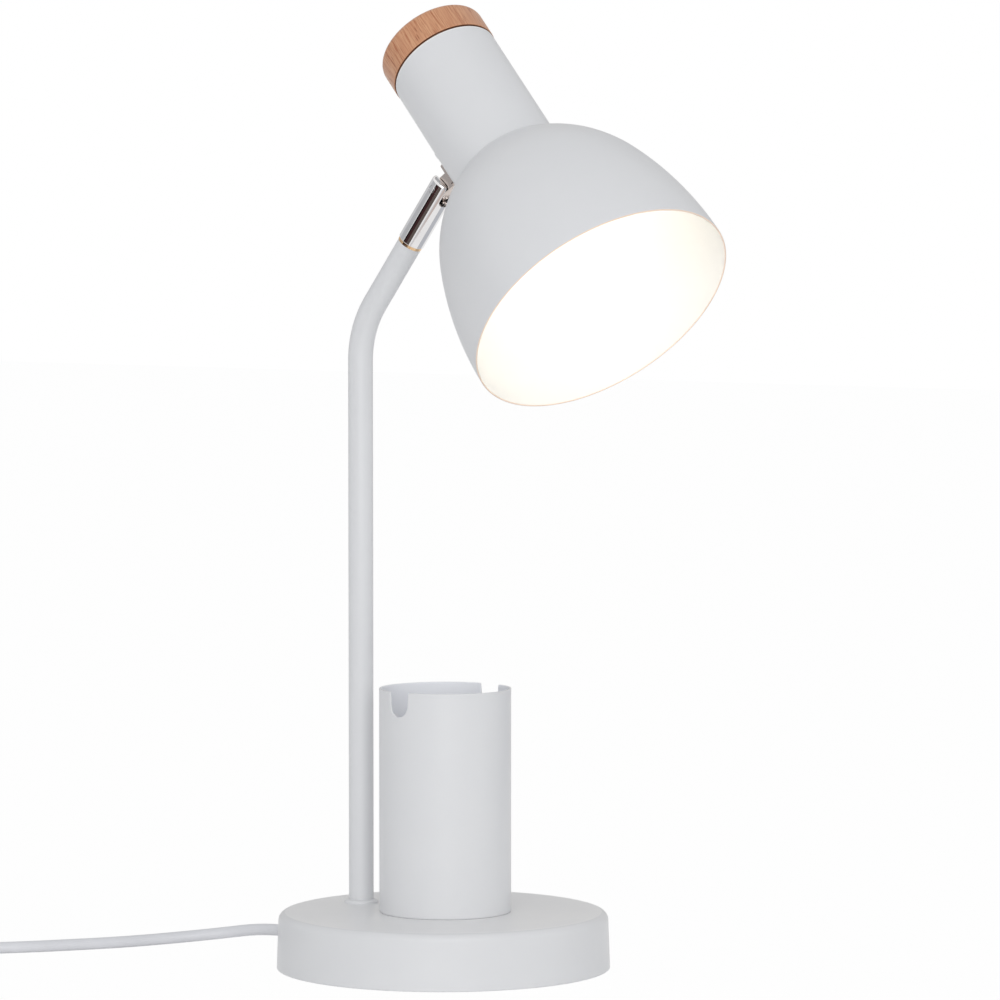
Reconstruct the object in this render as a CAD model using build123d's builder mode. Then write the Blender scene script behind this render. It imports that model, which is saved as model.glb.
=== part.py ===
from build123d import *
from math import acos, asin, cos, degrees, pi, radians, sin, sqrt, tan
import os

# Desk lamp with a pen holder. Millimetres and degrees, Z up.
# The origin is the centre of the base's underside, and +X is the side that the arm leans to.

# Base
base_diameter = 160.0
base_height = 27.2
base_draft = 1.0
base_edge_radius = 4.5
base_wall = 1.2
rim_lift = 0.8
rim_radius = 0.5
pad_inset = 3.5
pad_thickness = 1.5
plate_thickness = 1.0
plate_gap = 1.2
weight_side_gap = 3.8
weight_chamfer = 2.0
foot_diameter = 14.0
foot_inset = 11.0
foot_count = 3
plate_screw_diameter = 4.0
plate_screw_length = 8.0
plate_screw_head_height = 1.2

# Stem and its fastening in the base
stem_inset = 29.0
stem_diameter = 12.0
stem_wall = 1.0
bend_corner_height = 305.7
bend_angle = 36.8
bend_radius = 46.0
arm_length = 36.1
collar_diameter = 16.4
collar_height = 1.8
nipple_bore = 7.4
nipple_insertion = 15.0
nipple_end_length = 1.0
washer_diameter = 19.0
washer_thickness = 1.0
stem_nut_width = 14.0
stem_nut_height = 4.0

# Pen cup
cup_diameter = 63.2
cup_height = 107.0
cup_wall = 1.0
cup_floor = 1.2
notch_width = 12.6
notch_depth = 11.7
notch_mouth_radius = 1.0
notch_turn = -5.1
cup_screw_diameter = 5.0
cup_screw_head_diameter = 9.5
cup_screw_head_height = 2.8
cup_nut_width = 8.0
cup_nut_height = 4.0
cup_screw_end_length = 2.0

# Knuckle: brass nipple, chrome barrel, pin and bracket
brass_ring_diameter = 12.3
brass_ring_height = 1.4
lower_spigot_length = 12.0
spigot_diameter = 8.4
spigot_length = 13.0
spigot_bore = 5.2
spigot_end_gap = 0.5
groove_depth = 0.8
groove_width = 2.4
groove_height = 6.0
barrel_diameter = 13.1
barrel_length = 36.0
barrel_top_radius = 2.2
barrel_foot_chamfer = 0.4
barrel_bore = 6.0
slot_width = 6.4
slot_floor_height = 25.4
slot_corner_radius = 2.0
pin_height = 30.5
pin_diameter = 3.6
grub_diameter = 2.5
grub_tip_diameter = 1.7
grub_sink = 0.3
running_clearance = 0.05
head_swivel = -9.13
head_tilt = -81.59
swivel_travel = 300.0
tongue_thickness = 5.4
eye_radius = 4.5
flange_width = 16.0
flange_length = 13.5
flange_thickness = 1.3
flange_corner_radius = 1.5
flange_shift = 3.0
tongue_step = 1.8
friction_washer_thickness = 0.4
friction_washer_diameter = 6.8
eye_chamfer = 0.5
bracket_screw_diameter = 2.5
bracket_screw_head_diameter = 4.8
bracket_screw_head_height = 1.2
bracket_screw_spacing = 10.8

# Head: shade, neck and wooden cap, measured along the head's axis from the shade's mouth
pin_to_head_axis = 40.15
pin_above_mouth = 118.2
shade_diameter = 130.0
shade_wall = 0.8
belly_radius = 168.0
belly_angle = 19.5
crown_radius = 76.0
neck_diameter = 53.2
neck_wall = 1.0
neck_length = 68.5
neck_disc_thickness = 1.2
wood_cap_diameter = 53.8
wood_cap_height = 15.8
wood_cap_edge_radius = 3.0
shadow_gap = 0.7
nut_pocket_diameter = 20.0
nut_pocket_depth = 7.0
cap_screw_diameter = 3.0
cap_screw_head_diameter = 5.8
cap_screw_head_height = 1.8
cap_screw_length = 9.0
cap_screw_circle = 36.0
side_screw_diameter = 3.0
side_screw_head_diameter = 5.6
side_screw_head_height = 1.4
side_screw_length = 3.2
side_screw_turn = 30.0
side_screw_above_pin = 4.0
saddle_thickness = 1.2
saddle_length = 8.0
saddle_span = 19.0

# Lampholder and bulb
socket_hole_diameter = 40.6
skirt_diameter = 39.6
skirt_length = 10.0
holder_diameter = 43.0
holder_wall = 1.8
holder_body_length = 34.0
holder_dome_length = 18.0
shade_ring_diameter = 50.0
shade_ring_height = 6.0
insert_thickness = 4.0
contact_hole_diameter = 6.0
contact_diameter = 7.0
contact_height = 1.0
screw_shell_diameter = 27.6
screw_shell_wall = 0.4
screw_shell_length = 22.0
tube_nipple_diameter = 10.0
tube_nipple_bore = 7.6
tube_nipple_grip = 7.0
tube_nut_height = 3.5
bulb_cap_diameter = 26.4
bulb_cap_length = 26.0
bulb_globe_diameter = 45.0
bulb_collar_length = 15.0
bulb_length = 78.0

# Mains lead, single wires and fittings
cord_diameter = 5.7
cord_exit_height = 9.0
cord_exit_run = 14.0
cord_weight_gap = 0.65
floor_gap = 0.05
relief_length = 20.0
relief_root_diameter = 11.0
relief_tip_diameter = 7.6
bushing_neck_diameter = 9.2
bushing_flange_diameter = 13.0
bushing_flange_thickness = 1.6
bushing_wall_gap = 0.3
sheath_inset = 16.0
clamp_span = 21.0
clamp_width = 5.0
clamp_height = 2.0
clamp_wall = 1.2
clamp_offset = 6.0
clamp_screw_diameter = 2.9
clamp_screw_length = 8.0
stem_wire_diameter = 2.2
head_wire_diameter = 1.6
wire_gap = 0.2
wire_lead_out = 3.0
wire_step_down = 4.0
wire_hole_diameter = 4.4

# In-line switch
switch_length = 58.0
switch_width = 22.0
switch_corner_radius = 4.5
switch_lower_height = 8.0
switch_upper_height = 6.0
switch_wall = 1.8
switch_floor = 1.2
switch_relief_length = 14.0
switch_relief_root_diameter = 7.6
switch_relief_tip_diameter = 7.0
switch_cord_height = 4.2
switch_screw_diameter = 2.4
switch_screw_inset = 6.5
switch_post_diameter = 5.2
switch_post_sink = 0.5
rocker_length = 19.0
rocker_width = 10.4
rocker_rest_tilt = 7.0
rocker_pivot_diameter = 2.0
rocker_pivot_length = 1.5
rocker_pivot_depth = 3.2
window_gap = 0.4
terminal_length = 6.0
terminal_width = 9.0
terminal_height = 4.6
terminal_offset = 15.0

# Coil, tie and plug
coil_outer_radius = 41.5
coil_spacing = 0.45
turns_per_layer = 3
coil_lift = 0.6
tie_thickness = 0.5
tie_width = 8.0
tie_slack = 0.2
plug_length = 36.0
plug_width = 35.0
plug_thickness = 13.8
plug_corner_radius = 5.0
plug_shoulder_width = 18.0
plug_relief_length = 18.0
plug_relief_root_diameter = 10.5
plug_relief_tip_diameter = 7.4
plug_pin_diameter = 4.0
plug_pin_length = 19.0
plug_pin_root = 12.0
plug_pin_root_diameter = 5.0
plug_pin_spacing = 18.6
plug_sleeve_length = 10.0
plug_sleeve_diameter = 3.5
plug_core_diameter = 2.9

# Clearance all round between parts that are fitted together and do not move
fit_clearance = 0.05

# Heights and radii in the base
base_radius = base_diameter / 2
base_top_radius = base_radius - base_draft
plate_top = pad_thickness + plate_thickness
weight_diameter = base_diameter - 2 * (base_wall + weight_side_gap)
weight_top = base_height - base_wall
weight_bottom = cord_exit_height + cord_diameter / 2 + cord_weight_gap
weight_thickness = weight_top - weight_bottom
foot_circle = weight_diameter - 2 * foot_inset
pad_diameter = base_diameter - 2 * pad_inset
stem_offset = base_radius - stem_inset
sheath_end = base_radius - sheath_inset

# The stem bends forward, in the XZ plane
stem_radius = stem_diameter / 2
stem_bore_radius = stem_radius - stem_wall
nipple_radius = stem_bore_radius - fit_clearance
bend_start = bend_corner_height - bend_radius * tan(radians(bend_angle / 2))
bend_end_x = -stem_offset + bend_radius * (1 - cos(radians(bend_angle)))
bend_end = Vector(bend_end_x, 0, bend_start + bend_radius * sin(radians(bend_angle)))
arm_direction = Vector(sin(radians(bend_angle)), 0, cos(radians(bend_angle)))
arm_end = bend_end + arm_direction * arm_length
barrel_base = arm_end + arm_direction * brass_ring_height
pin_centre = barrel_base + arm_direction * pin_height

# The head turns about the arm and tilts about the pin
left = Vector(0, 1, 0)
across = left.rotate(Axis((0, 0, 0), arm_direction), head_swivel)
head_up = arm_direction.rotate(Axis((0, 0, 0), across), head_tilt)
head_forward = across.cross(head_up)
mouth_centre = pin_centre + head_forward * pin_to_head_axis - head_up * pin_above_mouth

base_frame = Plane.XY
stem_frame = Plane(origin=(-stem_offset, 0, 0), z_dir=(0, 0, 1))
cord_frame = Plane(origin=(0, 0, cord_exit_height), x_dir=(0, 1, 0), z_dir=(-1, 0, 0))
arm_frame = Plane(origin=arm_end, x_dir=left.cross(arm_direction), z_dir=arm_direction)
barrel_frame = Plane(origin=barrel_base, x_dir=across.cross(arm_direction), z_dir=arm_direction)
pin_frame = Plane(origin=pin_centre, x_dir=arm_direction, z_dir=across)
head_frame = Plane(origin=mouth_centre, x_dir=head_forward, z_dir=head_up)

# Head heights and radii, from the shade's mouth
neck_radius = neck_diameter / 2
neck_bore_radius = neck_radius - neck_wall
shade_radius = shade_diameter / 2
belly_top_radius = shade_radius - belly_radius * (1 - cos(radians(belly_angle)))
belly_top = belly_radius * sin(radians(belly_angle))
crown_drop = (belly_top_radius - neck_radius) / crown_radius
crown_end_angle = degrees(acos(cos(radians(belly_angle)) - crown_drop))
crown_rise = crown_radius * (sin(radians(crown_end_angle)) - sin(radians(belly_angle)))
shade_height = belly_top + crown_rise
neck_top = shade_height + neck_length
flange_centre = pin_above_mouth - flange_shift
side_screw_height = pin_above_mouth + side_screw_above_pin
holder_seat = shade_height + neck_wall
body_top = holder_seat + holder_body_length
dome_top = body_top + holder_dome_length
insert_bottom = body_top - insert_thickness
bulb_top = insert_bottom - contact_height


def side_view(frame):
    """The plane through a frame's axis whose X is the frame's X and whose Y is its axis."""
    return Plane(origin=frame.origin, x_dir=frame.x_dir, z_dir=-frame.y_dir)


def frame_axis(frame):
    return Axis(frame.origin, frame.z_dir)


def frame_point(frame, x, y, z):
    return frame.from_local_coords(Vector(x, y, z))


def add_ring(frame, outer_diameter, inner_diameter, low, high, mode=Mode.ADD):
    """A ring about a frame's axis, or a rod where the inner diameter is 0."""
    with BuildSketch(frame.offset(low)) as section:
        Circle(outer_diameter / 2)
        if inner_diameter > 0:
            Circle(inner_diameter / 2, mode=Mode.SUBTRACT)
    extrude(section.sketch, amount=high - low, mode=mode)


def add_rods(frame, places, diameter, low, high, mode=Mode.ADD):
    """Round rods, or holes, at places on a frame."""
    with BuildSketch(frame.offset(low)) as section:
        with Locations(*places):
            Circle(diameter / 2)
    extrude(section.sketch, amount=high - low, mode=mode)


def add_nut(frame, width, bore_diameter, low, high):
    """A hexagon nut, measured across its flats."""
    with BuildSketch(frame.offset(low)) as section:
        RegularPolygon(width / 2, 6, major_radius=False)
        Circle(bore_diameter / 2, mode=Mode.SUBTRACT)
    extrude(section.sketch, amount=high - low)


def add_pan_screw(frame, shank_diameter, head_diameter, head_height, length):
    """A pan-head screw: its head sits at the frame's origin and its shank runs along +Z."""
    add_ring(frame, shank_diameter, 0, 0, length)
    with BuildSketch(side_view(frame)) as head:
        with Locations((head_diameter / 4, -head_height / 2)):
            Rectangle(head_diameter / 2, head_height)
        fillet(head.vertices().group_by(Axis.Y)[0].sort_by(Axis.X)[-1], head_height * 0.45)
    revolve(head.sketch, axis=frame_axis(frame))
    with BuildSketch(frame.offset(-head_height)) as cross:
        Rectangle(head_diameter * 0.55, head_diameter * 0.13)
        Rectangle(head_diameter * 0.13, head_diameter * 0.55)
    extrude(cross.sketch, amount=head_height * 0.5, mode=Mode.SUBTRACT)


def add_turned(frame, points):
    """A piece turned about a frame's axis, its outline given as (radius, height) points."""
    with BuildSketch(side_view(frame)) as outline:
        with BuildLine():
            Polyline(*points, close=True)
        make_face()
    revolve(outline.sketch, axis=frame_axis(frame))


def add_wire(points, diameter, radii):
    """A round wire along straight runs joined by arcs."""
    with BuildLine():
        route = FilletPolyline(*points, radius=radii)
    with BuildSketch(Plane(origin=route @ 0, z_dir=route % 0)) as section:
        Circle(diameter / 2)
    sweep(section.sketch, path=route)
    return route.length


def cord_radii(points):
    """Each arc of the cord is as large as its two runs allow."""
    corners = [Vector(*point) for point in points]
    radii = []
    for before, corner, after in zip(corners, corners[1:], corners[2:]):
        run_in = corner - before
        run_out = after - corner
        half_turn = radians(run_in.get_angle(run_out) / 2)
        radii.append(0.45 * min(run_in.length, run_out.length) / tan(half_turn))
    return radii


def report_cord(name, piece, radii, length):
    """Prints a stretch's radii and how its volume compares with its section times its length."""
    section = pi * cord_diameter**2 / 4
    ratio = piece.part.volume / (section * length)
    print(name, "radii", [round(radius, 1) for radius in radii])
    print(name, "length", round(length, 1), "volume over section times length", round(ratio, 4))


# Base shell: a drawn steel pan with a rounded top edge
wall_at_cord = base_radius - base_draft * (cord_exit_height - rim_lift) / (base_height - rim_lift)
with BuildPart() as base_shell:
    with BuildSketch(Plane.XZ) as outline:
        with BuildLine():
            Polyline(
                (0, rim_lift),
                (base_radius, rim_lift),
                (base_top_radius, base_height),
                (0, base_height),
                close=True,
            )
        make_face()
        fillet(outline.vertices().group_by(Axis.Y)[-1].sort_by(Axis.X)[-1], base_edge_radius)
        fillet(outline.vertices().group_by(Axis.Y)[0].sort_by(Axis.X)[-1], rim_radius)
    revolve(axis=Axis.Z)
    with BuildSketch(Plane.XZ) as cavity:
        with BuildLine():
            Polyline(
                (0, 0),
                (base_radius - base_wall, 0),
                (base_top_radius - base_wall, weight_top),
                (0, weight_top),
                close=True,
            )
        make_face()
        cavity_corner = cavity.vertices().group_by(Axis.Y)[-1].sort_by(Axis.X)[-1]
        fillet(cavity_corner, base_edge_radius - base_wall)
    revolve(axis=Axis.Z, mode=Mode.SUBTRACT)
    with Locations((-stem_offset, 0, base_height)):
        Hole(nipple_radius + fit_clearance, base_wall * 2)
    with Locations((0, 0, base_height)):
        Hole(cup_screw_diameter / 2 + fit_clearance, base_wall * 2)
    bushing_hole = bushing_neck_diameter + 2 * fit_clearance
    add_ring(cord_frame, bushing_hole, 0, base_top_radius / 2, base_radius + 1, Mode.SUBTRACT)
base_shell.part.label = "base_shell"

# Cast-iron weight under the shell's top, with feet for the bottom plate
foot_places = [place.position for place in PolarLocations(foot_circle / 2, foot_count)]
clamp_places = [(-sheath_end - clamp_offset, side * clamp_span * 0.36) for side in (-1, 1)]
clamp_seat = weight_bottom - clamp_height
with BuildPart() as base_weight:
    with BuildSketch(Plane.XY.offset(weight_bottom)):
        Circle(weight_diameter / 2)
    extrude(amount=weight_thickness)
    chamfer(base_weight.edges().group_by(Axis.Z)[-1], weight_chamfer)
    add_rods(base_frame, foot_places, foot_diameter, plate_top, weight_bottom)
    with Locations((-stem_offset, 0, weight_top)):
        Hole(nipple_radius + fit_clearance, weight_thickness)
    with Locations((0, 0, weight_top)):
        Hole(cup_screw_diameter / 2 + fit_clearance, weight_thickness)
    plate_screw_hole = plate_screw_diameter + 2 * fit_clearance
    plate_hole_top = pad_thickness + plate_screw_length + 1
    add_rods(base_frame, foot_places, plate_screw_hole, plate_top, plate_hole_top, Mode.SUBTRACT)
    clamp_hole = clamp_screw_diameter + 2 * fit_clearance
    clamp_hole_top = clamp_seat + clamp_screw_length + 1
    add_rods(base_frame, clamp_places, clamp_hole, weight_bottom, clamp_hole_top, Mode.SUBTRACT)
base_weight.part.label = "base_weight"

# Bottom plate, its screws and the foam pad that the lamp stands on
with BuildPart() as bottom_plate:
    add_ring(base_frame, base_diameter - 2 * (base_wall + plate_gap), 0, pad_thickness, plate_top)
    add_rods(base_frame, foot_places, plate_screw_hole, pad_thickness, plate_top, Mode.SUBTRACT)
bottom_plate.part.label = "bottom_plate"

plate_screw_head = 2 * plate_screw_diameter
with BuildPart() as bottom_plate_screws:
    screw_top = pad_thickness + plate_screw_length
    add_rods(base_frame, foot_places, plate_screw_diameter, pad_thickness, screw_top)
    head_bottom = pad_thickness - plate_screw_head_height
    add_rods(base_frame, foot_places, plate_screw_head, head_bottom, pad_thickness)
bottom_plate_screws.part.label = "bottom_plate_screws"

with BuildPart() as base_pad:
    add_ring(base_frame, pad_diameter, 0, 0, pad_thickness)
    add_rods(base_frame, foot_places, plate_screw_head + 1, 0, pad_thickness, Mode.SUBTRACT)
base_pad.part.label = "base_pad"

# Stem: one tube, straight up and then bent forward
with BuildPart() as stem:
    with BuildLine(Plane.XZ) as stem_path:
        upright = Line((-stem_offset, base_height), (-stem_offset, bend_start))
        bend = JernArc(upright @ 1, upright % 1, bend_radius, -bend_angle)
        Line(bend @ 1, bend @ 1 + arm_direction * arm_length)
    with BuildSketch(stem_frame.offset(base_height)):
        Circle(stem_radius)
        Circle(stem_bore_radius, mode=Mode.SUBTRACT)
    sweep()
stem.part.label = "stem"

# Domed collar round the stem's foot
with BuildPart() as stem_collar:
    with BuildSketch(side_view(stem_frame.offset(base_height))):
        with BuildLine():
            collar_inner = stem_radius + fit_clearance
            collar_outer = collar_diameter / 2
            foot = Line((collar_inner, 0), (collar_outer, 0))
            edge = Line(foot @ 1, (collar_outer, collar_height * 0.25))
            crest = (collar_inner * 0.55 + collar_outer * 0.45, collar_height * 0.85)
            dome = ThreePointArc(edge @ 1, crest, (collar_inner, collar_height))
            Line(dome @ 1, foot @ 0)
        make_face()
    revolve(axis=frame_axis(stem_frame))
stem_collar.part.label = "stem_collar"

# Threaded nipple in the stem's foot, with its washer and nut under the weight
stem_nut_top = weight_bottom - washer_thickness
stem_nut_bottom = stem_nut_top - stem_nut_height
nipple_diameter = 2 * nipple_radius
nipple_hole = nipple_diameter + 2 * fit_clearance
with BuildPart() as stem_nipple:
    nipple_top = base_height + nipple_insertion
    add_ring(stem_frame, nipple_diameter, nipple_bore, stem_nut_bottom - nipple_end_length, nipple_top)
stem_nipple.part.label = "stem_nipple"

with BuildPart() as stem_washer:
    add_ring(stem_frame, washer_diameter, nipple_hole, stem_nut_top, weight_bottom)
stem_washer.part.label = "stem_washer"

with BuildPart() as stem_nut:
    add_nut(stem_frame, stem_nut_width, nipple_hole, stem_nut_bottom, stem_nut_top)
stem_nut.part.label = "stem_nut"

# Pen cup: a tube with a floor and two round-bottomed notches in its rim
cup_radius = cup_diameter / 2
cup_top = base_height + cup_height
notch_half = notch_width / 2
notch_centre = cup_top - notch_depth + notch_half
notch_across = Vector(1, 0, 0).rotate(Axis.Z, notch_turn)
notch_along = Vector(0, -1, 0).rotate(Axis.Z, notch_turn)
with BuildPart() as pen_cup:
    with BuildSketch(Plane.XY.offset(base_height)):
        Circle(cup_radius)
    extrude(amount=cup_height)
    with BuildSketch(Plane.XY.offset(base_height + cup_floor)):
        Circle(cup_radius - cup_wall)
    extrude(amount=cup_height, mode=Mode.SUBTRACT)
    fillet(pen_cup.edges().group_by(Axis.Z)[-1], cup_wall * 0.3)
    with Locations((0, 0, base_height + cup_floor)):
        Hole(cup_screw_diameter / 2 + fit_clearance, cup_floor * 2)
    with BuildSketch(Plane(origin=(0, 0, 0), x_dir=notch_across, z_dir=notch_along)):
        with BuildLine():
            bottom = JernArc((0, notch_centre - notch_half), (1, 0), notch_half, 90)
            side = Line(bottom @ 1, (notch_half, cup_top - notch_mouth_radius))
            mouth = JernArc(side @ 1, (0, 1), notch_mouth_radius, -90)
            above = Polyline(mouth @ 1, (mouth @ 1) + Vector(0, 1), (0, cup_top + 1))
            mirror(about=Plane.YZ)
        make_face()
    extrude(amount=cup_radius + 1, both=True, mode=Mode.SUBTRACT)
pen_cup.part.label = "pen_cup"

# Screw through the cup's floor, the shell and the weight, with its nut
cup_seat = Plane(origin=(0, 0, base_height + cup_floor), x_dir=(1, 0, 0), z_dir=(0, 0, -1))
cup_nut_bottom = weight_bottom - cup_nut_height
with BuildPart() as cup_screw:
    cup_screw_length = base_height + cup_floor - cup_nut_bottom + cup_screw_end_length
    add_pan_screw(
        cup_seat,
        cup_screw_diameter,
        cup_screw_head_diameter,
        cup_screw_head_height,
        cup_screw_length,
    )
cup_screw.part.label = "cup_screw"

with BuildPart() as cup_nut:
    cup_nut_bore = cup_screw_diameter + 2 * fit_clearance
    add_nut(base_frame, cup_nut_width, cup_nut_bore, cup_nut_bottom, weight_bottom)
cup_nut.part.label = "cup_nut"

# Cord bushing: a tapered sleeve outside, a neck through the wall and a locking flange inside
sleeve_bore_radius = cord_diameter / 2 + fit_clearance
relief_tip = wall_at_cord + relief_length
flange_drop = base_radius - sqrt(base_radius**2 - (bushing_flange_diameter / 2) ** 2)
inner_flange_face = wall_at_cord - base_wall - flange_drop - bushing_wall_gap
outer_flange_face = wall_at_cord + bushing_wall_gap
bushing_flange_radius = bushing_flange_diameter / 2
with BuildPart() as cord_bushing:
    add_turned(
        cord_frame,
        [
            (sleeve_bore_radius, inner_flange_face - bushing_flange_thickness),
            (bushing_flange_radius, inner_flange_face - bushing_flange_thickness),
            (bushing_flange_radius, inner_flange_face),
            (bushing_neck_diameter / 2, inner_flange_face),
            (bushing_neck_diameter / 2, outer_flange_face),
            (bushing_flange_radius, outer_flange_face),
            (bushing_flange_radius, outer_flange_face + bushing_flange_thickness),
            (relief_root_diameter / 2, outer_flange_face + bushing_flange_thickness),
            (relief_tip_diameter / 2, relief_tip),
            (sleeve_bore_radius, relief_tip),
        ],
    )
cord_bushing.part.label = "cord_bushing"

# Sheathed end of the cord, through the bushing into the base
with BuildPart() as cord_inner_end:
    add_ring(cord_frame, cord_diameter, 0, sheath_end, relief_tip)
cord_inner_end.part.label = "cord_inner_end"

# Clamp that holds the sheath against the weight, with its two screws
clamp_frame = Plane(origin=(-sheath_end - clamp_offset, 0, 0), x_dir=(0, 1, 0), z_dir=(1, 0, 0))
with BuildPart() as cord_clamp:
    with BuildSketch(clamp_frame):
        with Locations((0, clamp_seat + clamp_height / 2)):
            Rectangle(clamp_span, clamp_height)
        with Locations((0, cord_exit_height)):
            Circle(sleeve_bore_radius + clamp_wall)
        with Locations((0, weight_bottom + clamp_span / 2)):
            Rectangle(clamp_span, clamp_span, mode=Mode.SUBTRACT)
        with Locations((0, cord_exit_height)):
            Circle(sleeve_bore_radius, mode=Mode.SUBTRACT)
    extrude(amount=clamp_width / 2, both=True)
    add_rods(base_frame, clamp_places, clamp_hole, clamp_seat, weight_bottom, Mode.SUBTRACT)
cord_clamp.part.label = "cord_clamp"

with BuildPart() as clamp_screws:
    add_rods(base_frame, clamp_places, clamp_screw_diameter, clamp_seat, clamp_seat + clamp_screw_length)
    clamp_head_bottom = clamp_seat - clamp_screw_diameter / 2
    add_rods(base_frame, clamp_places, 1.6 * clamp_screw_diameter, clamp_head_bottom, clamp_seat)
clamp_screws.part.label = "clamp_screws"

# Two wires run from the sheath's end up the stem and the arm into the barrel
stem_wire_radius = stem_wire_diameter / 2
stem_wire_offset = stem_wire_radius + wire_gap / 2
wire_low = plate_top + stem_wire_radius + wire_gap
wire_stop = barrel_base + arm_direction * (slot_floor_height - stem_wire_diameter)
wire_bend = stem_wire_diameter * 0.8
wire_radii = [wire_bend, wire_bend, wire_bend, bend_radius]


def stem_wire_points(y):
    """The route of one stem wire, at a distance y to the side of the arm's plane."""
    return [
        (-sheath_end, y, cord_exit_height),
        (-sheath_end + wire_lead_out, y, cord_exit_height),
        (-sheath_end + wire_lead_out + wire_step_down, y, wire_low),
        (-stem_offset, y, wire_low),
        (-stem_offset, y, bend_corner_height),
        (wire_stop.X, y, wire_stop.Z),
    ]


with BuildPart() as stem_wire_brown:
    add_wire(stem_wire_points(stem_wire_offset), stem_wire_diameter, wire_radii)
stem_wire_brown.part.label = "stem_wire_brown"

with BuildPart() as stem_wire_blue:
    add_wire(stem_wire_points(-stem_wire_offset), stem_wire_diameter, wire_radii)
stem_wire_blue.part.label = "stem_wire_blue"

# Brass nipple at the arm's end: its ring shows, and its spigot carries the barrel.
# The groove round the spigot stops at a land in front, where the grub screw's tip meets it.
spigot_radius = spigot_diameter / 2
groove_radius = spigot_radius - groove_depth
tip_angle = degrees(asin(grub_tip_diameter / 2 / groove_radius))
land_angle = 360 - swivel_travel - 2 * tip_angle
spigot_end = brass_ring_height + spigot_length
land_edge = arm_frame.x_dir.rotate(Axis((0, 0, 0), arm_direction), land_angle / 2)
with BuildPart() as knuckle_nipple:
    add_ring(arm_frame, nipple_diameter, 0, -lower_spigot_length, 0)
    add_ring(arm_frame, brass_ring_diameter, 0, 0, brass_ring_height)
    add_ring(arm_frame, spigot_diameter, 0, brass_ring_height, spigot_end)
    groove_centre = barrel_base + arm_direction * groove_height
    with BuildSketch(side_view(Plane(origin=groove_centre, x_dir=land_edge, z_dir=arm_direction))):
        with Locations((groove_radius + groove_depth, 0)):
            Rectangle(2 * groove_depth, groove_width)
    revolve(axis=frame_axis(arm_frame), revolution_arc=360 - land_angle, mode=Mode.SUBTRACT)
    add_ring(arm_frame, spigot_bore, 0, -lower_spigot_length, spigot_end, Mode.SUBTRACT)
knuckle_nipple.part.label = "knuckle_nipple"

# Chrome barrel: turns on the spigot, and is slotted at the top for the bracket's tongue
barrel_radius = barrel_diameter / 2
spigot_hole_radius = spigot_radius + running_clearance
grub_frame = Plane(
    origin=frame_point(barrel_frame, 0, 0, groove_height),
    x_dir=arm_direction,
    z_dir=-barrel_frame.x_dir,
)
with BuildPart() as knuckle_barrel:
    with BuildSketch(barrel_frame):
        Circle(barrel_radius)
    extrude(amount=barrel_length)
    end_faces = knuckle_barrel.faces().filter_by(GeomType.PLANE).sort_by(frame_axis(barrel_frame))
    fillet(end_faces[-1].edges(), barrel_top_radius)
    chamfer(end_faces[0].edges(), barrel_foot_chamfer)
    spigot_hole_depth = spigot_length + spigot_end_gap
    add_ring(barrel_frame, 2 * spigot_hole_radius, 0, 0, spigot_hole_depth, Mode.SUBTRACT)
    add_ring(barrel_frame, barrel_bore, 0, 0, slot_floor_height + 1, Mode.SUBTRACT)
    with BuildSketch(Plane(origin=barrel_base, x_dir=across, z_dir=barrel_frame.x_dir)) as slot:
        with Locations((0, slot_floor_height + barrel_length / 2)):
            Rectangle(slot_width, barrel_length)
        fillet(slot.vertices().group_by(Axis.Y)[0], slot_corner_radius)
    extrude(amount=barrel_diameter, both=True, mode=Mode.SUBTRACT)
    pin_hole = pin_diameter + 2 * fit_clearance
    add_ring(pin_frame, pin_hole, 0, -barrel_diameter, barrel_diameter, Mode.SUBTRACT)
    grub_hole = grub_diameter + 2 * fit_clearance
    add_ring(grub_frame, grub_hole, 0, 0, barrel_diameter, Mode.SUBTRACT)
knuckle_barrel.part.label = "knuckle_barrel"

# Grub screw in the barrel's back, its tip in the spigot's groove
with BuildPart() as swivel_grub_screw:
    grub_seat = spigot_hole_radius + running_clearance
    add_ring(grub_frame, grub_diameter, 0, grub_seat, barrel_radius - grub_sink)
    add_ring(grub_frame, grub_tip_diameter, 0, groove_radius + 4 * running_clearance, grub_seat)
swivel_grub_screw.part.label = "swivel_grub_screw"

# Pin across the slot, flush with the barrel, and a friction washer each side of the tongue
with BuildPart() as knuckle_pin:
    pin_half = sqrt(barrel_radius**2 - (pin_diameter / 2) ** 2) - fit_clearance
    add_ring(pin_frame, pin_diameter, 0, -pin_half, pin_half)
knuckle_pin.part.label = "knuckle_pin"

with BuildPart() as friction_washers:
    washer_seat = slot_width / 2 - running_clearance
    for low in (-washer_seat, washer_seat - friction_washer_thickness):
        high = low + friction_washer_thickness
        add_ring(pin_frame, friction_washer_diameter, pin_hole, low, high)
friction_washers.part.label = "friction_washers"

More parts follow.
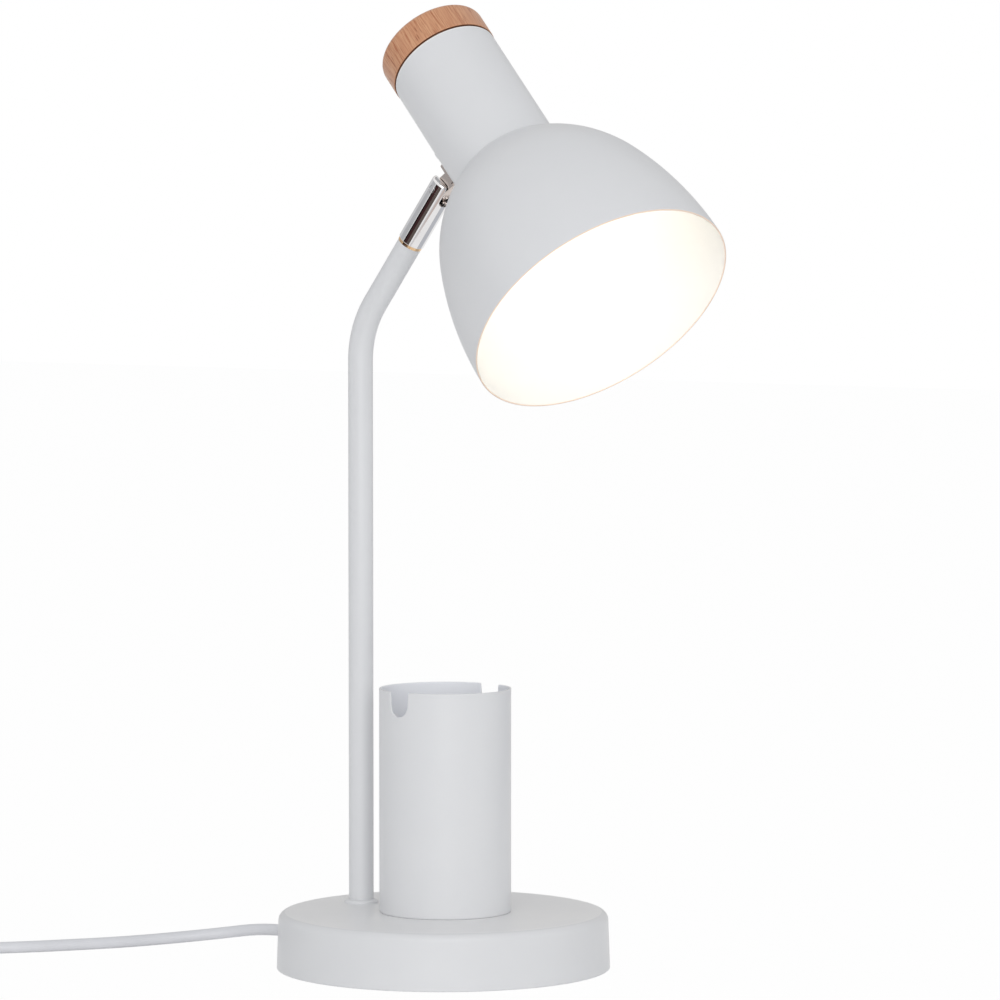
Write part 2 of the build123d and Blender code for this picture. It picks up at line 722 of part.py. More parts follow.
# Bracket: an eye on the pin, a tongue and a saddle flange on the neck, bored for the wires
flange_face = -neck_radius - flange_thickness
flange_frame = Plane(
    origin=frame_point(head_frame, flange_face, 0, flange_centre), x_dir=across, z_dir=head_forward
)
bracket_screw_places = [(-bracket_screw_spacing / 2, 0), (bracket_screw_spacing / 2, 0)]
bracket_screw_hole = bracket_screw_diameter + 2 * fit_clearance
wire_bore = wire_hole_diameter - 4 * fit_clearance
tongue_half = flange_length / 2 - tongue_step
with BuildPart() as knuckle_bracket:
    with BuildSketch(side_view(head_frame)):
        with Locations((-pin_to_head_axis, pin_above_mouth)):
            Circle(eye_radius)
        with BuildLine():
            Polyline(
                (-pin_to_head_axis, pin_above_mouth - eye_radius),
                (-neck_radius, flange_centre - tongue_half),
                (-neck_radius, flange_centre + tongue_half),
                (-pin_to_head_axis, pin_above_mouth + eye_radius),
                close=True,
            )
        make_face()
    extrude(amount=tongue_thickness / 2, both=True)
    cheeks = knuckle_bracket.faces().sort_by(frame_axis(pin_frame))
    chamfer(cheeks[0].edges() + cheeks[-1].edges(), eye_chamfer)
    with BuildSketch(flange_frame):
        RectangleRounded(flange_width, flange_length, flange_corner_radius)
    extrude(amount=2 * flange_thickness)
    neck_surface = 2 * (neck_radius + fit_clearance)
    add_ring(head_frame, neck_surface, 0, shade_height, neck_top, Mode.SUBTRACT)
    eye_hole = pin_diameter + 2 * running_clearance
    add_ring(pin_frame, eye_hole, 0, -tongue_thickness, tongue_thickness, Mode.SUBTRACT)
    add_ring(flange_frame, wire_bore, 0, -wire_bore, flange_width, Mode.SUBTRACT)
    way_down = frame_point(head_frame, flange_face - wire_bore / 2, 0, flange_centre)
    way_frame = Plane(origin=way_down, x_dir=head_forward, z_dir=-head_up)
    add_ring(way_frame, wire_bore * 0.8, 0, 0, flange_length, Mode.SUBTRACT)
    bracket_screw_depth = 4 * flange_thickness
    add_rods(
        flange_frame,
        bracket_screw_places,
        bracket_screw_hole,
        -flange_thickness,
        bracket_screw_depth,
        Mode.SUBTRACT,
    )
knuckle_bracket.part.label = "knuckle_bracket"

# Screws that hold the bracket, driven from inside the neck
head_reach = bracket_screw_spacing / 2 + bracket_screw_head_diameter / 2
screw_head_seat = sqrt(neck_bore_radius**2 - head_reach**2)
seat_depth = -flange_face - screw_head_seat
with BuildPart() as bracket_screws:
    add_rods(
        flange_frame, bracket_screw_places, bracket_screw_diameter, running_clearance, seat_depth
    )
    add_rods(
        flange_frame,
        bracket_screw_places,
        bracket_screw_head_diameter,
        seat_depth,
        seat_depth + bracket_screw_head_height,
    )
bracket_screws.part.label = "bracket_screws"

# Neck: a tube with a flange turned in at its foot
side_frames = []
for side in (-1, 1):
    outward = (-head_forward).rotate(Axis((0, 0, 0), head_up), side * side_screw_turn)
    seat = mouth_centre + head_up * side_screw_height + outward * neck_radius
    side_frames.append(Plane(origin=seat, x_dir=head_up, z_dir=-outward))
side_screw_hole = side_screw_diameter + 2 * fit_clearance
with BuildPart() as neck_tube:
    add_turned(
        head_frame,
        [
            (socket_hole_diameter / 2, shade_height),
            (neck_radius, shade_height),
            (neck_radius, neck_top),
            (neck_bore_radius, neck_top),
            (neck_bore_radius, holder_seat),
            (socket_hole_diameter / 2, holder_seat),
        ],
    )
    add_ring(flange_frame, wire_hole_diameter, 0, 0, neck_radius, Mode.SUBTRACT)
    add_rods(
        flange_frame, bracket_screw_places, bracket_screw_hole, 0, bracket_screw_depth, Mode.SUBTRACT
    )
    for frame in side_frames:
        add_ring(frame, side_screw_hole, 0, -1, side_screw_length, Mode.SUBTRACT)
neck_tube.part.label = "neck_tube"

# Saddle plate inside the neck, behind the two side screws
with BuildPart() as neck_saddle:
    with BuildSketch(head_frame.offset(side_screw_height - saddle_length / 2)):
        Circle(neck_bore_radius - fit_clearance)
        Circle(neck_bore_radius - saddle_thickness, mode=Mode.SUBTRACT)
        with Locations((neck_radius - saddle_span, 0)):
            Rectangle(2 * neck_radius, 2 * neck_radius, mode=Mode.SUBTRACT)
    extrude(amount=saddle_length)
    for frame in side_frames:
        add_ring(frame, side_screw_hole, 0, 0, side_screw_length, Mode.SUBTRACT)
neck_saddle.part.label = "neck_saddle"

with BuildPart() as side_screws:
    for frame in side_frames:
        add_pan_screw(
            frame,
            side_screw_diameter,
            side_screw_head_diameter,
            side_screw_head_height,
            side_screw_length,
        )
side_screws.part.label = "side_screws"

# Disc that closes the neck's top
cap_screw_places = [(0, -cap_screw_circle / 2), (0, cap_screw_circle / 2)]
cap_screw_hole = cap_screw_diameter + 2 * fit_clearance
disc_bottom = neck_top - neck_disc_thickness
tube_hole = tube_nipple_diameter + 2 * fit_clearance
with BuildPart() as neck_disc:
    add_ring(head_frame, 2 * (neck_bore_radius - fit_clearance), tube_hole, disc_bottom, neck_top)
    add_rods(head_frame, cap_screw_places, cap_screw_hole, disc_bottom, neck_top, Mode.SUBTRACT)
neck_disc.part.label = "neck_disc"

# Turned wooden cap, with a shadow gap over the neck and a pocket for the nut
cap_top = neck_top + wood_cap_height
with BuildPart() as wood_cap:
    with BuildSketch(side_view(head_frame)) as cap_outline:
        with BuildLine():
            Polyline(
                (nut_pocket_diameter / 2, neck_top),
                (neck_bore_radius, neck_top),
                (neck_bore_radius, neck_top + shadow_gap),
                (wood_cap_diameter / 2, neck_top + shadow_gap),
                (wood_cap_diameter / 2, cap_top),
                (0, cap_top),
                (0, neck_top + nut_pocket_depth),
                (nut_pocket_diameter / 2, neck_top + nut_pocket_depth),
                close=True,
            )
        make_face()
        cap_corner = cap_outline.vertices().group_by(Axis.Y)[-1].sort_by(Axis.X)[-1]
        fillet(cap_corner, wood_cap_edge_radius)
    revolve(axis=frame_axis(head_frame))
    cap_hole_top = disc_bottom + cap_screw_length + 1
    add_rods(head_frame, cap_screw_places, cap_screw_hole, neck_top, cap_hole_top, Mode.SUBTRACT)
wood_cap.part.label = "wood_cap"

with BuildPart() as wood_cap_screws:
    for x, y in cap_screw_places:
        screw_seat = frame_point(head_frame, x, y, disc_bottom)
        add_pan_screw(
            Plane(origin=screw_seat, x_dir=head_forward, z_dir=head_up),
            cap_screw_diameter,
            cap_screw_head_diameter,
            cap_screw_head_height,
            cap_screw_length,
        )
wood_cap_screws.part.label = "wood_cap_screws"

# Shade: a spun dome of two tangent arcs, closed by a flat land with the lampholder's hole
inner_crown_radius = crown_radius - shade_wall
crown_centre_x = belly_top_radius - crown_radius * cos(radians(belly_angle))
crown_centre_y = belly_top - crown_radius * sin(radians(belly_angle))
land_bottom = shade_height - shade_wall
inner_end_angle = degrees(asin((land_bottom - crown_centre_y) / inner_crown_radius))
with BuildPart() as shade:
    with BuildSketch(side_view(head_frame)):
        with BuildLine():
            rim = Line((shade_radius - shade_wall, 0), (shade_radius, 0))
            belly = JernArc(rim @ 1, (0, 1), belly_radius, belly_angle)
            crown = JernArc(belly @ 1, belly % 1, crown_radius, crown_end_angle - belly_angle)
            land = Line(crown @ 1, (socket_hole_diameter / 2, shade_height))
            land_edge_line = Line(land @ 1, (socket_hole_diameter / 2, land_bottom))
            inner_belly = JernArc(rim @ 0, (0, 1), belly_radius - shade_wall, belly_angle)
            inner_turn = inner_end_angle - belly_angle
            inner_crown = JernArc(inner_belly @ 1, inner_belly % 1, inner_crown_radius, inner_turn)
            Line(inner_crown @ 1, land_edge_line @ 1)
        make_face()
    revolve(axis=frame_axis(head_frame))
shade.part.label = "shade"

# Lampholder: body with its skirt, and the ring that clamps the shade
holder_radius = holder_diameter / 2
skirt_radius = skirt_diameter / 2
holder_bore_radius = skirt_radius - holder_wall
with BuildPart() as holder_body:
    add_turned(
        head_frame,
        [
            (holder_bore_radius, shade_height - skirt_length),
            (skirt_radius, shade_height - skirt_length),
            (skirt_radius, holder_seat),
            (holder_radius, holder_seat),
            (holder_radius, body_top),
            (holder_bore_radius, body_top),
        ],
    )
holder_body.part.label = "holder_body"

with BuildPart() as shade_ring:
    ring_bore = skirt_diameter + 2 * fit_clearance
    add_ring(head_frame, shade_ring_diameter, ring_bore, land_bottom - shade_ring_height, land_bottom)
shade_ring.part.label = "shade_ring"

# Lampholder's dome, with a hole in its side for the wires
boss_radius = tube_nipple_diameter / 2 + 2.5
shoulder_height = body_top + holder_dome_length / 2
wire_entry_height = body_top + holder_dome_length / 4
with BuildPart() as holder_dome:
    add_turned(
        head_frame,
        [
            (holder_bore_radius, body_top),
            (holder_radius, body_top),
            (holder_radius, shoulder_height),
            (boss_radius + 3, dome_top - 5),
            (boss_radius, dome_top),
            (tube_hole / 2, dome_top),
            (tube_hole / 2, dome_top - tube_nipple_grip - 1),
            (boss_radius, dome_top - tube_nipple_grip - 1),
            (holder_bore_radius, shoulder_height - 1),
        ],
    )
    entry_origin = frame_point(head_frame, 0, 0, wire_entry_height)
    entry_frame = Plane(origin=entry_origin, x_dir=across, z_dir=-head_forward)
    add_ring(entry_frame, wire_hole_diameter, 0, boss_radius, holder_diameter, Mode.SUBTRACT)
holder_dome.part.label = "holder_dome"

# Contact insert, screw shell and sprung centre contact
with BuildPart() as contact_insert:
    insert_diameter = 2 * (holder_bore_radius - fit_clearance)
    add_ring(head_frame, insert_diameter, contact_hole_diameter, insert_bottom, body_top)
contact_insert.part.label = "contact_insert"

with BuildPart() as screw_shell:
    shell_bore = screw_shell_diameter - 2 * screw_shell_wall
    shell_bottom = insert_bottom - screw_shell_length
    add_ring(head_frame, screw_shell_diameter, shell_bore, shell_bottom, insert_bottom)
screw_shell.part.label = "screw_shell"

with BuildPart() as centre_contact:
    add_ring(head_frame, contact_diameter, 0, bulb_top, insert_bottom)
    contact_shank = contact_hole_diameter - 2 * fit_clearance
    add_ring(head_frame, contact_shank, 0, insert_bottom, body_top + 1)
centre_contact.part.label = "centre_contact"

# Threaded tube that ties the lampholder to the disc, with its nut in the cap's pocket
with BuildPart() as tube_nipple:
    tube_top = neck_top + tube_nut_height + 1
    add_ring(head_frame, tube_nipple_diameter, tube_nipple_bore, dome_top - tube_nipple_grip, tube_top)
tube_nipple.part.label = "tube_nipple"

with BuildPart() as tube_nut:
    add_nut(head_frame, stem_nut_width, tube_hole, neck_top, neck_top + tube_nut_height)
tube_nut.part.label = "tube_nut"

# Wires in the head, from the bracket's bore up beside the lampholder and into its dome
wire_lane = -(holder_radius + neck_bore_radius - saddle_thickness) / 2
head_wire_offset = (head_wire_diameter + wire_gap) / 2
with BuildPart() as head_wires:
    for side in (-1, 1):
        y = side * head_wire_offset
        add_wire(
            [
                frame_point(head_frame, flange_face - wire_bore / 4, y, flange_centre),
                frame_point(head_frame, wire_lane, y, flange_centre),
                frame_point(head_frame, wire_lane, y, wire_entry_height),
                frame_point(head_frame, -boss_radius - 3, y, wire_entry_height),
            ],
            head_wire_diameter,
            head_wire_diameter * 0.8,
        )
head_wires.part.label = "head_wires"

# Bulb: frosted globe, collar and screw cap with its contact
cap_bottom = bulb_top - bulb_cap_length
globe_radius = bulb_globe_diameter / 2
globe_centre = bulb_top - bulb_length + globe_radius
collar_bottom = cap_bottom - bulb_collar_length
collar_radius = sqrt(globe_radius**2 - (collar_bottom - globe_centre) ** 2)
with BuildPart() as bulb_globe:
    with BuildSketch(side_view(head_frame)):
        with BuildLine():
            pole = (0, globe_centre - globe_radius)
            flank = (globe_radius * cos(radians(30)), globe_centre - globe_radius * sin(radians(30)))
            glass = ThreePointArc(pole, flank, (collar_radius, collar_bottom))
            Polyline(glass @ 1, (0, collar_bottom), pole)
        make_face()
    revolve(axis=frame_axis(head_frame))
bulb_globe.part.label = "bulb_globe"

with BuildPart() as bulb_collar:
    add_turned(
        head_frame,
        [
            (0, collar_bottom),
            (collar_radius, collar_bottom),
            (bulb_cap_diameter / 2, cap_bottom),
            (0, cap_bottom),
        ],
    )
bulb_collar.part.label = "bulb_collar"

with BuildPart() as bulb_cap:
    cap_radius = bulb_cap_diameter / 2
    add_turned(
        head_frame,
        [
            (0, cap_bottom),
            (cap_radius, cap_bottom),
            (cap_radius, bulb_top - cap_radius / 2),
            (contact_diameter / 2, bulb_top - 1),
            (contact_diameter / 2, bulb_top),
            (0, bulb_top),
        ],
    )
bulb_cap.part.label = "bulb_cap"

# Route of the cord from the bushing down to the table, along it and round to the in-line switch
floor_height = cord_diameter / 2 + floor_gap
base_route = [
    (-relief_tip, 0, cord_exit_height),
    (-relief_tip - cord_exit_run, 0, cord_exit_height),
    (-134, -8.5, 5.7),
    (-151.5, -25, 3.6),
    (-164.5, -46.5, floor_height),
    (-177.5, -68.5, floor_height),
    (-190.5, -88, floor_height),
    (-202, -102.2, floor_height),
    (-217.4, -109.5, floor_height),
    (-234.4, -109.3, floor_height),
    (-249.6, -101.8, switch_cord_height),
    (-265, -82.1, switch_cord_height),
]
with BuildPart() as cord_base_run:
    base_radii = cord_radii(base_route)
    base_run_length = add_wire(base_route, cord_diameter, base_radii)
cord_base_run.part.label = "cord_base_run"
report_cord("cord_base_run", cord_base_run, base_radii, base_run_length)

# In-line switch, on a frame whose X runs along the cord, away from the lamp
switch_entry = Vector(*base_route[-1])
heading = (switch_entry - Vector(*base_route[-2])).normalized()
sideways = Vector(0, 0, 1).cross(heading)
half_switch = switch_length / 2
switch_reach = half_switch + switch_relief_length
switch_centre = switch_entry + heading * switch_reach
switch_frame = Plane(origin=(switch_centre.X, switch_centre.Y, 0), x_dir=heading, z_dir=(0, 0, 1))
switch_cord_frame = Plane(origin=switch_centre, x_dir=sideways, z_dir=heading)
switch_top = switch_lower_height + switch_upper_height
cavity_length = switch_length - 2 * switch_wall
cavity_width = switch_width - 2 * switch_wall
cavity_corner_radius = switch_corner_radius - switch_wall
screw_x = half_switch - switch_screw_inset
screw_y = (cavity_width - switch_post_diameter) / 2 + switch_post_sink
switch_screw_places = [(-screw_x, screw_y), (screw_x, -screw_y)]
switch_screw_hole = switch_screw_diameter + 2 * fit_clearance
switch_head_diameter = 1.6 * switch_screw_diameter
switch_head_sink = 1.6
sleeve_bore = 2 * sleeve_bore_radius
with BuildPart() as switch_lower:
    with BuildSketch(switch_frame):
        RectangleRounded(switch_length, switch_width, switch_corner_radius)
    extrude(amount=switch_lower_height)
    fillet(switch_lower.edges().group_by(Axis.Z)[0], 1.0)
    for end in (-1, 1):
        root_place = end * (half_switch - switch_wall / 2)
        with BuildSketch(switch_cord_frame.offset(root_place)) as relief_root:
            Circle(switch_relief_root_diameter / 2)
        with BuildSketch(switch_cord_frame.offset(end * switch_reach)) as relief_end:
            Circle(switch_relief_tip_diameter / 2)
        loft()
    with BuildSketch(switch_frame.offset(switch_floor)):
        RectangleRounded(cavity_length, cavity_width, cavity_corner_radius)
        with Locations(*switch_screw_places):
            Circle(switch_post_diameter / 2, mode=Mode.SUBTRACT)
    extrude(amount=switch_lower_height, mode=Mode.SUBTRACT)
    bore_end = half_switch - 2 * switch_wall
    add_ring(switch_cord_frame, sleeve_bore, 0, -switch_reach, -bore_end, Mode.SUBTRACT)
    add_ring(switch_cord_frame, sleeve_bore, 0, bore_end, switch_reach, Mode.SUBTRACT)
    add_rods(
        switch_frame, switch_screw_places, switch_screw_hole, 0, switch_lower_height, Mode.SUBTRACT
    )
    head_hole = switch_head_diameter + 2 * fit_clearance
    add_rods(switch_frame, switch_screw_places, head_hole, 0, switch_head_sink, Mode.SUBTRACT)
switch_lower.part.label = "switch_lower"

# Upper half of the switch, with the rocker's window and its two pivot bosses
window_length = rocker_length + 4 * window_gap
window_width = rocker_width + 2 * window_gap
pivot_height = switch_top - rocker_pivot_depth
pivot_reach = rocker_width / 2 + rocker_pivot_length
rocker_view = side_view(switch_frame.offset(pivot_height))
screw_hole_top = switch_top - switch_wall / 2
with BuildPart() as switch_upper:
    with BuildSketch(switch_frame.offset(switch_lower_height)):
        RectangleRounded(switch_length, switch_width, switch_corner_radius)
    extrude(amount=switch_upper_height)
    fillet(switch_upper.edges().group_by(Axis.Z)[-1], 1.6)
    with BuildSketch(switch_frame.offset(switch_lower_height)):
        RectangleRounded(cavity_length, cavity_width, cavity_corner_radius)
        with Locations(*switch_screw_places):
            Circle(switch_post_diameter / 2, mode=Mode.SUBTRACT)
    extrude(amount=switch_upper_height - switch_wall, mode=Mode.SUBTRACT)
    with BuildSketch(switch_frame.offset(switch_lower_height)):
        Rectangle(4 * rocker_pivot_diameter, cavity_width)
    extrude(amount=switch_upper_height - switch_wall / 2)
    with BuildSketch(switch_frame.offset(switch_lower_height)):
        RectangleRounded(window_length, window_width, 1.2)
    extrude(amount=switch_upper_height, mode=Mode.SUBTRACT)
    pivot_hole = rocker_pivot_diameter + 2 * running_clearance
    pivot_end = pivot_reach + window_gap
    add_ring(rocker_view, pivot_hole, 0, -pivot_end, pivot_end, Mode.SUBTRACT)
    add_rods(
        switch_frame,
        switch_screw_places,
        switch_screw_hole,
        switch_lower_height,
        screw_hole_top,
        Mode.SUBTRACT,
    )
switch_upper.part.label = "switch_upper"

with BuildPart() as switch_screws:
    screw_end = screw_hole_top - switch_wall / 2
    add_rods(switch_frame, switch_screw_places, switch_screw_diameter, switch_head_sink, screw_end)
    add_rods(
        switch_frame,
        switch_screw_places,
        switch_head_diameter,
        switch_head_sink - switch_screw_diameter / 2,
        switch_head_sink,
    )
switch_screws.part.label = "switch_screws"

# Rocker: two wings with a shallow valley, on two stub pivots, tipped to one side
rocker_tip = heading.rotate(Axis((0, 0, 0), rocker_view.z_dir), rocker_rest_tilt)
rocker_frame = Plane(origin=rocker_view.origin, x_dir=rocker_tip, z_dir=rocker_view.z_dir)
half_rocker = rocker_length / 2
with BuildPart() as switch_rocker:
    with BuildSketch(rocker_frame):
        with BuildLine():
            Polyline(
                (-half_rocker, -1),
                (-half_rocker / 3, -1.8),
                (0, -3.4),
                (half_rocker / 3, -1.8),
                (half_rocker, -1),
                (half_rocker, 3.6),
                (0, 2.6),
                (-half_rocker, 3.6),
                close=True,
            )
        make_face()
    extrude(amount=rocker_width / 2, both=True)
    add_ring(rocker_frame, rocker_pivot_diameter, 0, -pivot_reach, pivot_reach)
switch_rocker.part.label = "switch_rocker"

# Inside the switch: two terminals, the contact strip under the rocker and the cord's ends
terminal_places = [(-terminal_offset, 0), (terminal_offset, 0)]
with BuildPart() as switch_terminals:
    with BuildSketch(switch_frame.offset(switch_floor)):
        with Locations(*terminal_places):
            Rectangle(terminal_length, terminal_width)
    extrude(amount=terminal_height)
switch_terminals.part.label = "switch_terminals"

strip_thickness = 0.6
strip_length = 2 * terminal_offset - terminal_length - strip_thickness
rocker_toe = pivot_height - 3.4
with BuildPart() as switch_contact:
    with BuildSketch(switch_frame.offset(switch_floor)):
        Rectangle(strip_length, terminal_width / 2)
    extrude(amount=strip_thickness)
    with BuildSketch(switch_frame.offset(switch_floor + strip_thickness)):
        with Locations((-strip_length / 4, 0)):
            Rectangle(terminal_length / 2, terminal_width / 2)
    extrude(amount=rocker_toe - 2 * strip_thickness - switch_floor)
switch_contact.part.label = "switch_contact"

with BuildPart() as switch_cord_ends:
    cord_stop = terminal_offset + terminal_length / 2 + window_gap
    add_ring(switch_cord_frame, cord_diameter, 0, -switch_reach, -cord_stop)
    add_ring(switch_cord_frame, cord_diameter, 0, cord_stop, switch_reach)
switch_cord_ends.part.label = "switch_cord_ends"

# Cord from the switch to the coil
coil_low = cord_diameter / 2 + coil_lift
switch_exit = switch_centre + heading * switch_reach
switch_exit_steps = [(0, switch_cord_height), (9, switch_cord_height), (20, coil_low), (29, coil_low)]
switch_route = [
    (switch_exit.X + heading.X * step, switch_exit.Y + heading.Y * step, height)
    for step, height in switch_exit_steps
]
with BuildPart() as cord_switch_run:
    switch_radii = cord_radii(switch_route)
    switch_run_length = add_wire(switch_route, cord_diameter, switch_radii)
cord_switch_run.part.label = "cord_switch_run"
report_cord("cord_switch_run", cord_switch_run, switch_radii, switch_run_length)

# Coil: half turns in two layers. The lower layer spirals in, the middle half turn climbs
# and the upper layer spirals out again over it.
coil_pitch = cord_diameter + coil_spacing
coil_entry = Vector(*switch_route[-1])
coil_centre = coil_entry + heading * cord_diameter + sideways * coil_outer_radius
middle_step = 2 * turns_per_layer
coil_arcs = []
side_now = -coil_outer_radius
radius_now = coil_outer_radius
height_now = 0
for step in range(2 * middle_step + 1):
    way = 1 if step % 2 == 0 else -1
    rise = coil_pitch if step == middle_step else 0
    side_next = side_now + way * 2 * radius_now
    bulge = way * sqrt(radius_now**2 + (rise / 2) ** 2)
    up = Vector(0, 0, 1)
    arc_start = coil_centre + sideways * side_now + up * height_now
    arc_end = coil_centre + sideways * side_next + up * (height_now + rise)
    arc_middle = (arc_start + arc_end) / 2 + heading * bulge
    coil_arcs.append((arc_start, arc_middle, arc_end))
    side_now = side_next
    height_now += rise
    radius_now += coil_pitch / 2 if step >= middle_step else -coil_pitch / 2
coil_exit = coil_arcs[-1][2] - heading * cord_diameter
with BuildPart() as cord_coil:
    with BuildLine() as coil_path:
        Line(coil_entry, coil_arcs[0][0])
        for arc_start, arc_middle, arc_end in coil_arcs:
            ThreePointArc(arc_start, arc_middle, arc_end)
        Line(coil_arcs[-1][2], coil_exit)
    with BuildSketch(Plane(origin=coil_entry, x_dir=sideways, z_dir=heading)):
        Circle(cord_diameter / 2)
    sweep()
cord_coil.part.label = "cord_coil"


def least_coil_gap(samples_per_arc=24):
    """Least distance between strands, on points along the arcs, less the cord's diameter."""
    samples = []
    for arc_start, arc_middle, arc_end in coil_arcs:
        centre = (arc_start + arc_end) / 2
        for sample in range(samples_per_arc):
            angle = pi * sample / samples_per_arc
            from_start = (arc_start - centre) * cos(angle)
            samples.append(centre + from_start + (arc_middle - centre) * sin(angle))
    least = coil_outer_radius
    for index, point in enumerate(samples):
        for other in samples[index + samples_per_arc :]:
            least = min(least, (point - other).length)
    return least - cord_diameter


coil_length = sum(edge.length for edge in coil_path.edges())
print("cord_coil least gap to itself", round(least_coil_gap(), 2))
report_cord("cord_coil", cord_coil, [], coil_length)

# Tie round the strands on the side of the coil that faces the switch
strand_outer = coil_arcs[1][1] - coil_centre
strand_inner = coil_arcs[middle_step - 1][1] - coil_centre
strand_shift = strand_inner.dot(sideways) + tie_width / 2
strand_reach = sqrt(strand_inner.dot(heading) ** 2 - strand_shift**2)
tie_near = strand_reach - cord_diameter / 2 - tie_slack
tie_far = -strand_outer.dot(heading) + cord_diameter / 2 + tie_slack
tie_low = coil_low - cord_diameter / 2 - floor_gap
tie_high = coil_low + coil_pitch + cord_diameter / 2 + floor_gap
tie_spot = coil_centre - heading * (tie_near + tie_far) / 2
tie_origin = Vector(tie_spot.X, tie_spot.Y, (tie_low + tie_high) / 2)
tie_length = tie_far - tie_near
tie_height = tie_high - tie_low
with BuildPart() as cord_tie:
    with BuildSketch(Plane(origin=tie_origin, x_dir=heading, z_dir=sideways)):
        RectangleRounded(tie_length + 2 * tie_thickness, tie_height + 2 * tie_thickness, 2.5)
        RectangleRounded(tie_length, tie_height, 2.5 - tie_thickness, mode=Mode.SUBTRACT)
    extrude(amount=tie_width / 2, both=True)
cord_tie.part.label = "cord_tie"

# Cord from the coil down to the plug
plug_height = plug_thickness / 2
plug_exit_steps = [(0, coil_exit.Z), (9, coil_exit.Z), (21, plug_height), (30, plug_height)]
plug_route = [
    (coil_exit.X - heading.X * step, coil_exit.Y - heading.Y * step, height)
    for step, height in plug_exit_steps
]
with BuildPart() as cord_plug_run:
    plug_radii = cord_radii(plug_route)
    plug_run_length = add_wire(plug_route, cord_diameter, plug_radii)
cord_plug_run.part.label = "cord_plug_run"
report_cord("cord_plug_run", cord_plug_run, plug_radii, plug_run_length)

# Plug: a flat body with a tapered relief, and two round pins with sleeved roots
plug_frame = Plane(origin=plug_route[-1], x_dir=sideways, z_dir=-heading)
plug_face = plug_relief_length + plug_length
plug_waist = plug_relief_length + plug_length * 0.4
pin_places = [(-plug_pin_spacing / 2, 0), (plug_pin_spacing / 2, 0)]
with BuildPart() as plug_body:
    with BuildSketch(plug_frame):
        Circle(plug_relief_tip_diameter / 2)
    with BuildSketch(plug_frame.offset(plug_relief_length)):
        Circle(plug_relief_root_diameter / 2)
    loft()
    with BuildSketch(plug_frame.offset(plug_relief_length)):
        RectangleRounded(plug_shoulder_width, plug_thickness - 1, plug_corner_radius)
    with BuildSketch(plug_frame.offset(plug_waist)):
        RectangleRounded(plug_width, plug_thickness, plug_corner_radius)
    loft()
    with BuildSketch(plug_frame.offset(plug_waist)):
        RectangleRounded(plug_width, plug_thickness, plug_corner_radius)
    extrude(amount=plug_face - plug_waist)
    plug_pin_hole = plug_pin_root_diameter + 2 * fit_clearance
    add_rods(
        plug_frame, pin_places, plug_pin_hole, plug_face - plug_pin_root, plug_face, Mode.SUBTRACT
    )
plug_body.part.label = "plug_body"

sleeve_end = plug_face + plug_sleeve_length
pin_end = plug_face + plug_pin_length
pin_tip_radius = 1.2
with BuildPart() as plug_pins:
    add_rods(plug_frame, pin_places, plug_pin_root_diameter, plug_face - plug_pin_root, plug_face)
    add_rods(plug_frame, pin_places, plug_core_diameter, plug_face, sleeve_end)
    add_rods(plug_frame, pin_places, plug_pin_diameter, sleeve_end, pin_end)
    pin_tips = plug_pins.faces().sort_by(frame_axis(plug_frame))[-2:]
    fillet(pin_tips.edges(), pin_tip_radius)
plug_pins.part.label = "plug_pins"

with BuildPart() as plug_sleeves:
    add_rods(plug_frame, pin_places, plug_sleeve_diameter, plug_face, sleeve_end)
    add_rods(plug_frame, pin_places, plug_core_diameter, plug_face, sleeve_end, Mode.SUBTRACT)
plug_sleeves.part.label = "plug_sleeves"

cord_length = relief_tip - sheath_end + base_run_length + 2 * switch_reach
cord_length += switch_run_length + coil_length + plug_run_length
print("cord length from the base to the plug", round(cord_length, 1))

os.makedirs("parts", exist_ok=True)
pieces = [
    base_shell,
    base_weight,
    bottom_plate,
    bottom_plate_screws,
    base_pad,
    stem,
    stem_collar,
    stem_nipple,
    stem_washer,
    stem_nut,
    pen_cup,
    cup_screw,
    cup_nut,
    cord_bushing,
    cord_inner_end,
    cord_clamp,
    clamp_screws,
    stem_wire_brown,
    stem_wire_blue,
    knuckle_nipple,
    knuckle_barrel,
    swivel_grub_screw,
    knuckle_pin,
    friction_washers,
    knuckle_bracket,
    bracket_screws,
    neck_tube,
    neck_saddle,
    side_screws,
    neck_disc,
    wood_cap,
    wood_cap_screws,
    shade,
    holder_body,
    shade_ring,
    holder_dome,
    contact_insert,
    screw_shell,
    centre_contact,
    tube_nipple,
    tube_nut,
    head_wires,
    bulb_globe,
    bulb_collar,
    bulb_cap,
    cord_base_run,
    switch_lower,
    switch_upper,
    switch_screws,
    switch_rocker,
    switch_terminals,
    switch_contact,
    switch_cord_ends,
    cord_switch_run,
    cord_coil,
    cord_tie,
    cord_plug_run,
    plug_body,
    plug_pins,
    plug_sleeves,
]
for piece in pieces:
    export_step(piece.part, f"parts/{piece.part.label}.step")
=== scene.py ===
# %% [markdown]
# # A desk lamp with a pen holder, dressed in Blender
# The lamp is a round, weighted base with a notched pen cup, a bent tube, a chromed knuckle
# and a wide dome shade with a wooden cap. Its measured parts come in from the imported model.
# Each cell below makes one piece or one finish, and says why it is made that way.

import bmesh
import bpy
import numpy as np
from mathutils import Matrix, Vector


